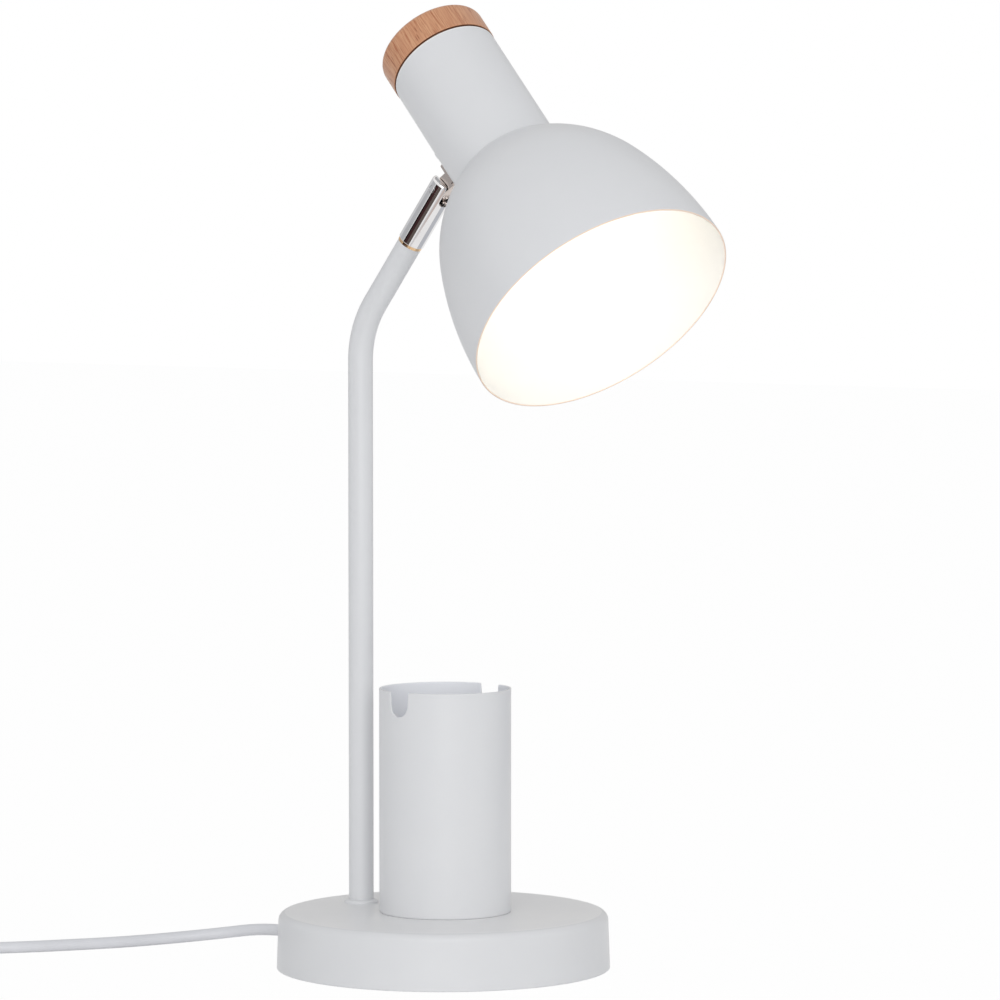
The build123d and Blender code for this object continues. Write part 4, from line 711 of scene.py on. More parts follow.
# %% Plastics, rubber and foam
def make_moulded(name, colour, other, roughness, grains=2600.0, depth=0.006):
    """A moulded skin: spark-eroded grit in the tool, and a tone that wanders a little."""
    material, tree, spot = start_material(name)
    grit = use_group(tree, GRIT, Vector=spot, Grains_per_metre=grains)
    touch = use_group(tree, HANDLING, Vector=spot, Patches_per_metre=45.0)["Amount"]
    tone, gloss = mixed(tree, touch, colour, other), (roughness, roughness + 0.12)
    return finished(material, tone, grit["Pit"], *gloss, grit["Height"], depth)


WHITE_PLASTIC = make_moulded("white_plastic", (0.74, 0.745, 0.75), (0.71, 0.71, 0.715), 0.42)
BLACK_PLASTIC = make_moulded("black_plastic", (0.022, 0.022, 0.023), (0.03, 0.03, 0.03), 0.4)
NYLON = make_moulded("nylon", (0.80, 0.79, 0.76), (0.76, 0.75, 0.72), 0.35)
HOLDER_WHITE = make_moulded(
    "holder_white", (0.83, 0.82, 0.79), (0.79, 0.78, 0.75), 0.3, depth=0.003
)
FOAM = make_moulded("foam", (0.32, 0.32, 0.34), (0.26, 0.26, 0.28), 0.75, 1300.0, 0.1)
BROWN_WIRE = make_moulded("brown_wire", (0.13, 0.055, 0.025), (0.10, 0.045, 0.02), 0.35)
BLUE_WIRE = make_moulded("blue_wire", (0.03, 0.10, 0.42), (0.025, 0.08, 0.36), 0.35)
BLACK_WEBBING = make_moulded(
    "black_webbing", (0.03, 0.03, 0.03), (0.02, 0.02, 0.02), 0.7, 3500.0, 0.08
)


def make_sheath():
    """Soft PVC, satin and a little uneven, with a fine grain."""
    material, tree, spot = start_material("sheath", Specular_IOR_Level=0.45)
    grain = use_group(tree, POWDER_GRAIN, Vector=spot, Lumps_per_metre=1800.0)["Height"]
    touch = use_group(tree, HANDLING, Vector=spot, Patches_per_metre=60.0)["Amount"]
    tone = mixed(tree, touch, (0.735, 0.74, 0.765), (0.695, 0.70, 0.725))
    return finished(material, tone, touch, 0.34, 0.46, grain, 0.006)


SHEATH = make_sheath()
lead.data.materials.append(SHEATH)


def make_lit_glass():
    """A frosted bulb that is switched on: its warm light comes from the glass itself."""
    material, tree, spot = start_material(
        "lit_glass", Base_Color=(0.93, 0.91, 0.86), Roughness=0.35, Emission_Strength=3.5
    )
    touch = use_group(tree, HANDLING, Vector=spot, Patches_per_metre=40.0)["Amount"]
    glow = mixed(tree, touch, (1.0, 0.925, 0.785), (1.0, 0.935, 0.805))
    join(tree, tree.nodes["Principled BSDF"], Emission_Color=glow)
    return material


LIT_GLASS = make_lit_glass()
print("materials:", len(bpy.data.materials), "node groups:", len(bpy.data.node_groups))

# %% [markdown]
# ## The base cover
# A disc of sheet steel is drawn over a round punch: the side leans in by 1 mm so that it
# leaves the die, and the punch's edge rounds the rim. A spun profile is exactly that shape,
# and its inside is open, so that the iron weight shows when the bottom plate is off.

# %% Base cover
BASE_RADIUS, BASE_HEIGHT, BASE_DRAFT, BASE_WALL, BASE_FOOT = 80.0, 27.2, 1.0, 1.2, 0.2


def base_profile():
    """Out along the top, down the drafted side, round the rim and back up inside."""
    edge, ceiling = BASE_RADIUS - BASE_DRAFT, BASE_HEIGHT - BASE_WALL
    corners = [(0, BASE_HEIGHT), (edge, BASE_HEIGHT), (BASE_RADIUS, BASE_FOOT)]
    corners += [(BASE_RADIUS - BASE_WALL, BASE_FOOT), (edge - BASE_WALL, ceiling), (0, ceiling)]
    return rounded(corners, [0, 3.9, 0.5, 0.3, 2.7, 0], steps=9)


# Level faces on top take the glossier coat, whose lighter colour is painted light.
add_piece(
    "base_cover",
    [spun(base_profile(), 256)],
    BASE,
    "base",
    [POWDER_WHITE, POWDER_TOP_GLOSS_AND_PAINTED_LIGHT],
    ["base_shell"],
    choose=lambda radius, height, outward, upward: upward > 0.98,
)

# %% Foam foot under the base: a flat disc whose die-cut edge is slightly rounded
foot = rounded([(0, 1.5), (76.5, 1.5), (76.5, 0), (0, 0)], [0, 0.25, 0.4, 0], steps=5)
add_piece("foam_foot", [spun(foot, 192)], BASE, "base", [FOAM], ["base_pad"])

# %% [markdown]
# ## The stem
# The stem is one tube, bent once over a former. Its path is a straight line, an arc and a
# short straight line, so the tube is a circle carried along that path. The circle stays
# square to the path, which is all in one plane, so its frames need no twist.

# %% Stem
STEM_RADIUS, STEM_BORE = 6.0, 5.0


def stem_surface(radius, sides=64):
    """Centre line from the base's top to the arm's end. On the bend, a turn t puts it at
    (R - R cos t, R sin t) from the bend's start, and the section leans by t too."""
    upright = np.linspace(BASE_HEIGHT, bend_start, 6)
    turn = np.concatenate([np.linspace(0, bend, 33)[1:], np.full(3, bend)])
    arm = np.concatenate([np.zeros(32), np.linspace(0, ARM_LENGTH, 4)[1:]])
    x = BEND_RADIUS * (1 - np.cos(turn)) + arm * np.sin(turn)
    z = bend_start + BEND_RADIUS * np.sin(turn) + arm * np.cos(turn)
    x = np.concatenate([np.zeros(6), x])[:, None]
    z = np.concatenate([upright, z])[:, None]
    lean = np.concatenate([np.zeros(6), turn])[:, None]
    out, side = radius * np.cos(full_turn(sides)), radius * np.sin(full_turn(sides))
    points = [x + out * np.cos(lean), side + 0 * x, z - out * np.sin(lean)]
    return np.stack(points, axis=-1)


outside, bore = stem_surface(STEM_RADIUS), stem_surface(STEM_BORE)
sleeve = np.concatenate([bore[:1], outside, bore[::-1]])
add_piece(
    "stem_tube", [(sleeve, True)], STEM_FOOT, "base", [POWDER_WHITE], ["stem"]
)

# %% Collar at the stem's foot: a low dome, a quarter ellipse up to the tube
COLLAR_BORE, COLLAR_RADIUS = 6.05, 8.2
dome = arc((COLLAR_BORE, 27.65), (2.15, 1.35), 0, np.pi / 2, 14)
collar = [(COLLAR_BORE, BASE_HEIGHT), (COLLAR_RADIUS, BASE_HEIGHT), *dome]
add_piece(
    "stem_foot_collar",
    [spun(closed_line(np.array(collar)), 96)],
    STEM_FOOT,
    "base",
    [POWDER_WHITE],
    ["stem_collar"],
)

# %% [markdown]
# ## The pen cup
# The cup is a tube with a floor, and two round-bottomed notches in its rim for a ruler or a
# long pen. Cutting the notches with a Boolean would leave slivers that spoil the shading of
# a curved wall. Instead the rim is a path: along the top, down into a notch, round it and
# up again. The wall's grid hangs from that path and fans out evenly below it, and the
# whole sheet is then rolled into a tube, where x becomes an angle.

# %% Cup sizes
CUP_RADIUS, CUP_WALL, CUP_TOP, CUP_FLOOR = 31.6, 1.0, 134.7, 1.2
NOTCH_WIDTH, NOTCH_DEPTH, NOTCH_MOUTH, NOTCH_TURN = 11.3, 11.9, 1.0, -6.4
NOTCH_TAPER, FAN_REACH, FAN_DROP = 0.45, 9, 6
CUP_PLACE = (np.array([0.71, 0.55, 0.0]), BASE[1])
RIM_FLARE, RIM_BAND, RIM_ROUND, FLOOR_ROUND = 0.08, 1.5, 0.3, 1.5


# %% Rim path and the sheet under it
def rim_path():
    """Half of the rim, from the middle of one plain stretch to the next, as (x, z) on the
    flat sheet with the notch at x = 0. The notch is a half circle, two sides that lean
    apart by the taper, and a small round at each mouth."""
    half, lip = NOTCH_WIDTH / 2, NOTCH_MOUTH
    bottom, wide = CUP_TOP - NOTCH_DEPTH + half, half + NOTCH_TAPER
    hollow = arc((0, bottom), half, -np.pi / 2, 0, 17)
    side = np.linspace([half, bottom], [wide, CUP_TOP - lip], 6)[1:]
    mouth_round = arc((wide + lip, CUP_TOP - lip), lip, np.pi, np.pi / 2, 8)[1:]
    flat_x = np.linspace(wide + lip + 0.3, np.pi * CUP_RADIUS / 2, 44)[:-1]
    flat = np.stack([flat_x, np.full(43, CUP_TOP)], axis=1)
    right = np.concatenate([hollow, side, mouth_round, flat])
    return np.concatenate([right[:0:-1] * [-1, 1], right])


def rim_ways(path):
    """The direction out of the sheet at each point of the rim path, up or into the notch."""
    ahead = np.roll(path, -1, axis=0) - np.roll(path, 1, axis=0)
    ahead[[0, -1]] = (1, 0)
    ahead /= np.linalg.norm(ahead, axis=1, keepdims=True)
    return np.stack([-ahead[:, 1], ahead[:, 0]], axis=1)


def cup_grid():
    """Rows from the floor's middle outside, up the wall, over the rim and down inside. Each
    row is the rim path moved back by an offset, or blended into a level line, and has its
    own radius; x / CUP_RADIUS is then the angle round the cup."""
    path = rim_path()
    way = rim_ways(path)
    run = np.concatenate([[0], np.cumsum(np.linalg.norm(np.diff(path, axis=0), axis=1))])
    fan_x = path[:, 0].copy()
    first, last = np.flatnonzero(np.abs(fan_x) < FAN_REACH)[[0, -1]]
    share = (run[first : last + 1] - run[first]) / (run[last] - run[first])
    fan_x[first : last + 1] = path[first, 0] + share * (path[last, 0] - path[first, 0])

    def level(height):
        return np.stack([fan_x, np.full(len(fan_x), height)], axis=1)

    def rim(offset):
        return path - way * offset

    low, floor, fan_top = BASE_HEIGHT, BASE_HEIGHT + CUP_FLOOR, CUP_TOP - NOTCH_DEPTH - FAN_DROP
    fan = np.linspace(0, 1, 9)[1:]
    walls = [level(h) for h in np.linspace(low + 2, fan_top, 7)]
    walls += [level(fan_top) * (1 - s) + rim(0.6) * s for s in fan]
    edge, hollow, deep = RIM_ROUND, FLOOR_ROUND, floor + FLOOR_ROUND
    over = [(np.sin(t), np.cos(t)) for t in np.linspace(0, np.pi / 2, 5)]
    sunk = [(np.sin(t), np.cos(t)) for t in np.linspace(0, np.pi / 2, 6)]
    rows = [(level(low), CUP_RADIUS), (level(low), 20.0), (level(low), 0.5)]
    rows += [(level(low + 0.3), 0.1), (level(low + 0.8), 0.0)]
    rows += [(wall, 0.0) for wall in walls]
    rows += [(rim(edge - edge * s), edge - edge * c) for s, c in over]
    rows += [(rim(edge - edge * c), CUP_WALL - edge + edge * s) for s, c in over]
    rows += [(wall, CUP_WALL) for wall in walls[::-1]]
    rows += [(level(deep - hollow * s), CUP_WALL + hollow - hollow * c) for s, c in sunk]
    rows += [(level(floor), 10.0), (level(floor), CUP_RADIUS)]
    sheet = np.stack([flat for flat, _ in rows])
    inset = np.array([depth for _, depth in rows])[:, None]
    rise = np.clip((sheet[..., 1] - (CUP_TOP - RIM_BAND)) / RIM_BAND, 0, 1)
    flare = RIM_FLARE * rise**2 * (3 - 2 * rise)
    radius = np.where(inset < CUP_RADIUS, CUP_RADIUS - inset + flare, 0.0)
    angle = sheet[..., 0] / CUP_RADIUS - np.pi / 2 + np.radians(NOTCH_TURN)
    return radius, angle, sheet[..., 1]


def cup_surface():
    """The half sheet twice, half a turn apart, joined into one ring."""
    radius, angle, height = (np.hstack([part[:, :-1]] * 2) for part in cup_grid())
    angle[:, angle.shape[1] // 2 :] += np.pi
    return np.stack([radius * np.cos(angle), radius * np.sin(angle), height], axis=-1), True


def cup_finish(radius, height, outward, upward):
    """1 on the inside and on the floor in it, a lighter coat that is painted light, and 0
    outside.
    """
    return (outward < -0.3) | ((upward > 0.3) & (height < BASE_HEIGHT + 5))


add_piece(
    "pen_cup_body",
    [cup_surface()],
    CUP_PLACE,
    "base",
    [POWDER_WHITE, PAINTED_LIT_CUP_LINING],
    ["pen_cup"],
    sharp=50.0,
    choose=cup_finish,
)

# %% [markdown]
# ## The shade
# A spun steel dome: a nearly straight belly runs into a tighter crown, and the lip is left
# as the sheet's own rounded edge. The outside and the inside are two arcs each about the
# same centres, 0.8 mm apart, so the wall is even. The inside is painted light, whiter than
# the outside, and the lip is a painted warm glow of the bulb's light: three finishes.

# %% Shade
MOUTH_RADIUS, SHADE_WALL, LIP = 65.0, 0.8, 0.4
BELLY_RADIUS, BELLY_ANGLE, CROWN_RADIUS = 168.0, 19.5, 76.0
NECK_RADIUS, NECK_WALL, NECK_LENGTH, SOCKET_HOLE = 26.6, 1.0, 68.5, 20.3

belly_turn = np.radians(BELLY_ANGLE)
arc_step = BELLY_RADIUS - CROWN_RADIUS
crown_x = MOUTH_RADIUS - BELLY_RADIUS + arc_step * np.cos(belly_turn)
crown_z = arc_step * np.sin(belly_turn)
crown_turn = np.arccos((NECK_RADIUS - crown_x) / CROWN_RADIUS)
SHADE_HEIGHT = crown_z + CROWN_RADIUS * np.sin(crown_turn)


def dome_arcs(inset):
    """Belly and crown arcs moved in by the inset, from the lip up to the neck."""
    belly, crown = BELLY_RADIUS - inset, CROWN_RADIUS - inset
    top = np.arcsin((SHADE_HEIGHT - inset - crown_z) / crown)
    low = arc((MOUTH_RADIUS - BELLY_RADIUS, 0), belly, LIP / BELLY_RADIUS, belly_turn, 26)
    high = arc((crown_x, crown_z), crown, belly_turn, top, 40)[1:]
    return np.concatenate([low, high])


def shade_profile():
    """The outside, the land under the neck, back down the inside and round the lip."""
    land = [(SOCKET_HOLE, SHADE_HEIGHT), (SOCKET_HOLE, SHADE_HEIGHT - SHADE_WALL)]
    lip = arc((MOUTH_RADIUS - LIP, LIP), LIP, np.pi, 2 * np.pi, 9)
    return np.concatenate([dome_arcs(0.0), land, dome_arcs(SHADE_WALL)[::-1], lip])


def shade_finish(radius, height, outward, upward):
    """2 on the lip, a painted warm glow; 1 on the inside and under the land, painted light; 0
    outside.
    """
    inside = (outward < -0.05) | (upward < -0.5)
    return np.where(height < LIP, 2, np.where(inside, 1, 0))


add_piece(
    "shade_dome",
    [spun(shade_profile(), 256)],
    HEAD,
    "head",
    [POWDER_WHITE, PAINTED_LIGHT_WHITE, PAINTED_BULB_GLOW],
    ["shade"],
    sharp=50.0,
    choose=shade_finish,
)

# %% [markdown]
# ## The neck and the wooden cap
# The neck is a plain tube. Its top edge is broken by a small round, and a thin band there
# is painted whiter as a painted highlight. A narrow gap, painted dark as painted shade,
# separates it from the cap. The cap is turned from one piece of beech, with a soft top edge.

# %% Neck
# The last number is the height of the band at the neck's top that is painted whiter as a painted
# highlight.
NECK_TOP, NECK_BORE, PAINTED_HIGHLIGHT_BAND = SHADE_HEIGHT + NECK_LENGTH, NECK_RADIUS - NECK_WALL, 1.1


def neck_profile():
    """Outside of the tube, its top edge, the bore and the flange turned in at its foot."""
    flange = SHADE_HEIGHT + NECK_WALL
    corners = [(SOCKET_HOLE, SHADE_HEIGHT), (NECK_RADIUS, SHADE_HEIGHT)]
    corners += [(NECK_RADIUS, NECK_TOP - PAINTED_HIGHLIGHT_BAND), (NECK_RADIUS, NECK_TOP)]
    corners += [(NECK_BORE, NECK_TOP), (NECK_BORE, flange), (SOCKET_HOLE, flange)]
    return closed_line(rounded(corners, [0, 0, 0, 0.6, 0.2, 0.8, 0], steps=6))


# Faces in the top band take the whiter finish: a painted highlight.
add_piece(
    "neck_sleeve",
    [spun(neck_profile(), 160)],
    HEAD,
    "head",
    [POWDER_WHITE, PAINTED_LIGHT_WHITE],
    ["neck_tube"],
    choose=lambda radius, height, outward, upward: height > NECK_TOP - PAINTED_HIGHLIGHT_BAND,
)

# %% Two low screw heads in the neck's side
SCREW_HEIGHT, SCREW_TURN = 122.2, 30.0


def screw_head(turn_degrees):
    """A painted, nearly flush pan head with a conical drive recess, set radially."""
    out = turned_by([-1, 0, 0], up, turn_degrees)
    place = frame_at(NECK_RADIUS * out + up * SCREW_HEIGHT, up, out)
    corners = [(0, 0.0), (0.6, 0.26), (1.0, 0.3), (1.8, 0.05), (1.8, -0.9), (0, -0.9)]
    points, wrap = spun(rounded(corners, [0, 0.1, 0.4, 0.2, 0, 0], steps=5), 40)
    return put(points, place), wrap


add_piece(
    "neck_screw_heads",
    [screw_head(SCREW_TURN), screw_head(-SCREW_TURN)],
    HEAD,
    "head",
    [POWDER_WHITE],
    ["side_screws"],
)

# %% Wooden cap
CAP_RADIUS, CAP_HEIGHT, SHADOW_GAP = 26.9, 15.8, 0.7
POCKET_RADIUS, POCKET_DEPTH = 10, 7


def cap_profile():
    """Pocket for the nut, the recess of the shadow gap, the side and the rounded top."""
    top, foot, pocket = NECK_TOP + CAP_HEIGHT, NECK_TOP + SHADOW_GAP, NECK_TOP + POCKET_DEPTH
    corners = [(0, pocket), (POCKET_RADIUS, pocket), (POCKET_RADIUS, NECK_TOP)]
    corners += [(NECK_BORE, NECK_TOP), (NECK_BORE, foot)]
    corners += [(CAP_RADIUS, foot), (CAP_RADIUS, top), (0, top)]
    return rounded(corners, [0, 0, 0.3, 0, 0, 0.3, 3.0, 0], steps=9)


def cap_finish(radius, height, outward, upward):
    """1 in the shadow gap and under the cap, painted shade, and 0 on its side and top."""
    return (height < NECK_TOP + SHADOW_GAP + 0.02) & (radius < CAP_RADIUS - 0.25)


add_piece(
    "wooden_cap",
    [spun(cap_profile(), 192)],
    HEAD,
    "head",
    [BEECH, PAINTED_GAP_SHADE],
    ["wood_cap"],
    choose=cap_finish,
)

# %% [markdown]
# ## The lampholder and the bulb
# Inside the shade are the holder's skirt, the ribbed ring that clamps the shade, and a
# small round bulb. Fingers turn the ring, so it is ribbed: a cosine wave round the ring is
# taken off its radius, on its outer wall only.

# %% Ribbed ring
RING_BORE, RING_RADIUS, RING_TOP = 19.85, 25.0, SHADE_HEIGHT - SHADE_WALL
RING_BOTTOM, RIBS, RIB_DEPTH = RING_TOP - 6.0, 40, 0.45


def ring_ribs(angle, radius):
    """Rounded grooves, RIB_DEPTH * (a cosine wave from 0 to 1) ** 2 deep, which start in
    the last millimetre before the ring's outer wall."""
    on_wall = np.clip((radius - (RING_RADIUS - 1)) / 0.6, 0, 1)
    return -RIB_DEPTH * on_wall * (0.5 + 0.5 * np.cos(RIBS * angle)) ** 2


ring_corners = [(RING_BORE, RING_TOP), (RING_RADIUS, RING_TOP)]
ring_corners += [(RING_RADIUS, RING_BOTTOM), (RING_BORE, RING_BOTTOM)]
ring = closed_line(rounded(ring_corners, [0, 0.4, 0.9, 0.3], steps=6))
add_piece(
    "clamp_ring",
    [spun(ring, 320, ring_ribs)],
    HEAD,
    "head",
    [HOLDER_WHITE],
    ["shade_ring"],
    sharp=60.0,
)

# %% Bulb: a globe cut flat where its collar starts, which is a slim bell
GLOBE_CENTRE, GLOBE_RADIUS, COLLAR_START, COLLAR_END = 68.0, 22.5, 82.5, 97.5

meet = np.arcsin((COLLAR_START - GLOBE_CENTRE) / GLOBE_RADIUS)
globe = arc((0, GLOBE_CENTRE), GLOBE_RADIUS, -np.pi / 2, meet, 40)
globe = np.concatenate([globe, [(0.0, COLLAR_START)]])
add_piece(
    "bulb_glass",
    [spun(globe, 96)],
    HEAD,
    "head",
    [LIT_GLASS],
    ["bulb_globe"],
    sharp=60.0,
)
bell_corners = [(0, COLLAR_START), (17.1, COLLAR_START), (16.6, 84.5), (14.4, 93.0)]
bell_corners += [(13.2, COLLAR_END), (0, COLLAR_END)]
bell = rounded(bell_corners, [0, 0.3, 1.2, 6.0, 0.3, 0], steps=6)
add_piece("bulb_neck", [spun(bell, 96)], HEAD, "head", [HOLDER_WHITE], ["bulb_collar"])

# %% [markdown]
# ## Strain relief, switch and plug
# These lie outside the picture, but the lead needs them, and they are made as carefully as
# the rest. A strain relief is a soft cone cut into ribs, so that the lead bends in a wide
# curve. The switch and the plug are rounded boxes, which are outlines stacked along an axis.

# %% Ribbed cones
RELIEF_BORE = 2.9


def ribbed(start, end, root, tip, ribs, depth=0.5):
    """Radii along a tapering sleeve with narrow grooves between its rounded ribs: the cone
    less depth * (1 - wave**0.5), where wave is a cosine wave from 0 to 1."""
    height = np.linspace(start, end, ribs * 12 + 1)
    share = (height - start) / (end - start)
    wave = 0.5 - 0.5 * np.cos(2 * np.pi * share * ribs)
    cone = root + (tip - root) * share
    return np.stack([cone - depth * (1 - wave**0.5), height], axis=1)


def bushing_profile():
    """Flange inside the wall, neck through it, flange outside, and the ribbed sleeve."""
    inner = [(RELIEF_BORE, 76.2), (6.5, 76.2), (6.5, 77.8), (4.6, 77.8), (4.6, 80.0)]
    outer = rounded([(4.6, 80.0), (6.5, 80.0), (6.5, 81.6), (5.5, 81.6)], [0, 0.3, 0.6, 0], 5)
    cone = ribbed(81.7, 99.2, 5.5, 3.9, 5)
    tip = [(3.6, 99.7), (RELIEF_BORE, 99.7)]
    return closed_line(np.concatenate([inner, outer, cone, tip]))


add_piece(
    "base_strain_relief",
    [spun(bushing_profile(), 64)],
    BUSHING,
    "base",
    [WHITE_PLASTIC],
    ["cord_bushing"],
    sharp=55.0,
)

# %% In-line switch, two halves
SWITCH_HALF, SWITCH_SIDE, SWITCH_CORNER, SWITCH_WALL = 29.0, 11.0, 4.5, 1.8
SWITCH_SPLIT, SWITCH_TOP, TRAY_FLOOR, LID_UNDER = 8.0, 14.0, 1.2, 12.2


def box_rows(profile):
    """Turns a profile of (inset, height) into rows of rounded rectangles."""
    inset, height = np.asarray(profile, float).T
    corner = np.maximum(SWITCH_CORNER - inset, 0.4)
    return np.stack([SWITCH_HALF - inset, SWITCH_SIDE - inset, corner, height], axis=1)


def lower_rows():
    """The tray: floor, rounded foot, wall, a fine parting groove and the hollow inside."""
    corners = [(3, 0), (0, 0), (0, SWITCH_SPLIT), (SWITCH_WALL, SWITCH_SPLIT)]
    wall = rounded(corners, [0, 1.0, 0.3, 0], steps=6)
    hollow = [(SWITCH_WALL, SWITCH_SPLIT), (SWITCH_WALL, TRAY_FLOOR)]
    body = box_rows([*wall, *hollow])
    return np.concatenate([[(0, 0, 0, 0)], body, [(0, 0, 0, TRAY_FLOOR)]])


def upper_rows():
    """The lid: wall, softly rounded shoulder, a dished frame round the rocker's window,
    the window's wall and the hollow inside."""
    corners = [(0, SWITCH_SPLIT), (0, SWITCH_TOP), (4, SWITCH_TOP)]
    parting = [(SWITCH_WALL, SWITCH_SPLIT), (0.3, SWITCH_SPLIT), (0, SWITCH_SPLIT + 0.3)]
    wall = box_rows([*parting, *rounded(corners, [0, 1.9, 0], steps=9)[1:]])
    window = [(12.6, 7.4, 2.6, SWITCH_TOP), (11.4, 6.6, 2.0, 13.75), (10.45, 5.75, 1.3, 13.6)]
    window += [(10.3, 5.6, 1.2, 13.4), (10.3, 5.6, 1.2, LID_UNDER)]
    hollow = box_rows([(SWITCH_WALL, LID_UNDER), (SWITCH_WALL, SWITCH_SPLIT)])
    return np.concatenate([wall, window, hollow])


def switch_reliefs():
    """A short ribbed sleeve at each end of the tray, on the lead's own axis."""
    cone = ribbed(28.4, 42.6, 3.8, 3.5, 4, depth=0.35)
    line = [[(RELIEF_BORE, 28.0), (3.9, 28.0)], cone, [(3.3, 43.0), (RELIEF_BORE, 43.0)]]
    points, _ = spun(closed_line(np.concatenate(line)), 48)
    lying = points[..., [2, 1, 0]] + [0, 0, IN_SWITCH]
    return [(lying, True), (lying * [-1, 1, 1], True)]


tray = [stacked(lower_rows()), *switch_reliefs()]
lid = [stacked(upper_rows())]
switch_tray = add_piece(
    "switch_tray", tray, SWITCH, "base", [WHITE_PLASTIC], ["switch_lower"]
)
switch_lid = add_piece(
    "switch_lid", lid, SWITCH, "base", [WHITE_PLASTIC], ["switch_upper"]
)

# %% [markdown]
# The rocker is a small see-saw with a hollow on top for the finger. It is a height above a
# flat grid: a gentle valley along its length, falling off at its rounded rim.

# %% Rocker
ROCKER_TILT, ROCKER_HEIGHT = 7.0, 10.8
ROCKER_HALF, ROCKER_SIDE = 9.5, 5.2
rocker_way = turned_by(heading, -sideways, -ROCKER_TILT)
rocker_up = np.cross(rocker_way, sideways)
ROCKER = frame_at(switch_middle * [1, 1, 0] + up * ROCKER_HEIGHT, rocker_way, rocker_up)


def rocker_patches():
    """Half sizes shrink towards the top by a rounded edge, and the top dips in the middle
    as 2.6 + (x / half length) ** 2. The underside is a shallow keel on the pivot, and two
    stub pivots stand out of the sides, one rod right through."""
    inset = np.array([0.0, 0.0, 0.05, 0.15, 0.3, 0.5, 0.8, 1.6, 3.0, ROCKER_SIDE])
    drop = np.array([4.6, 0.6, 0.32, 0.16, 0.06, 0.0, 0.0, 0.0, 0.0, 0.0])
    corner = np.maximum(1.0 - inset, 0.0)
    rows = np.stack([ROCKER_HALF - inset, ROCKER_SIDE - inset, corner, 0 * inset], axis=1)
    outline, _ = stacked(rows, per_corner=6)
    outline[..., 2] = 2.6 + (outline[..., 0] / ROCKER_HALF) ** 2 - drop[:, None]
    keel = outline[0].copy()
    keel[:, 2] = -3.0 + 2.0 * np.abs(keel[:, 0]) / ROCKER_HALF
    body = np.stack([keel * [1, 0, 1], keel, *outline, outline[-1] * [1, 0, 1]])
    rod, _ = spun(np.array([(0, -6.6), (1.0, -6.6), (1.0, 6.6), (0, 6.6)]), 24)
    return [(body, True), (rod[..., [0, 2, 1]], True)]


def rocker_marks():
    """A raised bar on the side that switches on, and a raised ring on the other."""
    bar, _ = stacked(
        [(0, 0, 0, 3.0), (0.25, 1.4, 0.25, 3.0), (0.25, 1.4, 0.25, 3.33), (0, 0, 0, 3.33)], 5
    )
    ring, _ = spun(arc((1.35, 3.22), 0.22, 0, 2 * np.pi, 13), 40)
    return [(bar + [-6.0, 0, 0.05], True), (ring + [6.0, 0, 0.0], True)]


rocker = add_piece(
    "rocker",
    rocker_patches(),
    ROCKER,
    "rocker",
    [BLACK_PLASTIC],
    ["switch_rocker"],
    sharp=55.0,
)
marks = add_piece("rocker_marks", rocker_marks(), ROCKER, "rocker", [WHITE_PLASTIC])

# %% [markdown]
# The plug is the same idea along its length: a round ribbed sleeve swells into a flat,
# two-pin body, which lies on the floor. Its half sizes are smooth curves of the distance
# along it.

# %% Plug
PLUG_HALF, PLUG_CORNER, PLUG_LENGTH, PLUG_EDGE = 17.5, 5.0, 54.0, 1.5
SLEEVE_TIP, SLEEVE_ROOT, SLEEVE_LENGTH, SLEEVE_PITCH = 3.7, 5.25, 18.0, 3.6
GROOVE_DEPTH, GRIP_DEPTH, GRIP_PITCH, GRIP_START, GRIP_END = 0.4, 0.45, 3.2, 34, 46.9


def plug_rows():
    """Sleeve to 18 mm, shoulder to 33 mm, body to 54 mm. The shoulder follows a smooth
    step, the grips are shallow waves in the sides, and the face's edge is rounded."""
    along = np.concatenate([np.linspace(0.0, SLEEVE_LENGTH, 61), np.linspace(18.4, 52.4, 60)])
    share = np.clip((along - 17.0) / 16.0, 0, 1)
    step = share**2 * (3 - 2 * share)
    cone = SLEEVE_TIP + (SLEEVE_ROOT - SLEEVE_TIP) * np.clip(along / SLEEVE_LENGTH, 0, 1)
    wave = 0.5 + 0.5 * np.cos(2 * np.pi * along / SLEEVE_PITCH)
    cone = cone - GROOVE_DEPTH * wave**2 * (along < SLEEVE_LENGTH - 0.8)
    grips = GRIP_DEPTH * (0.5 - 0.5 * np.cos(2 * np.pi * (along - GRIP_START) / GRIP_PITCH))
    grips = grips * (along > GRIP_START) * (along < GRIP_END)
    half_x = cone + (PLUG_HALF - SLEEVE_ROOT) * step - grips
    half_y = cone + (PLUG_HEIGHT - SLEEVE_ROOT) * step - 0.35 * grips
    corner = np.minimum(cone + (PLUG_CORNER - SLEEVE_ROOT) * step, half_y)
    body = np.stack([half_x, half_y, corner, along], axis=1)
    turn = np.linspace(0, np.pi / 2, 8)[1:]
    edge, rise = PLUG_EDGE * (1 - np.cos(turn)), PLUG_EDGE * (1 - np.sin(turn))
    face = [PLUG_HALF - edge, PLUG_HEIGHT - edge, PLUG_CORNER - edge, PLUG_LENGTH - rise]
    face = np.stack(face, axis=1)
    return np.concatenate([[(0, 0, 0, 0)], body, face, [(0, 0, 0, PLUG_LENGTH)]])


plug = add_piece(
    "plug_shell",
    [stacked(plug_rows(), 14)],
    PLUG,
    "base",
    [WHITE_PLASTIC],
    ["plug_body"],
)

# %% [markdown]
# The coil is held by a short strap of webbing, wrapped once round the strands. Its section
# is carried round a rounded rectangle that just clears them.

# %% Strap round the coil
strap_box = np.array(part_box("cord_tie")) / MM
STRAP = frame_at(strap_box.mean(axis=0), heading, sideways)
STRAP_WIDTH, STRAP_CORNER = 8.0, 2.5


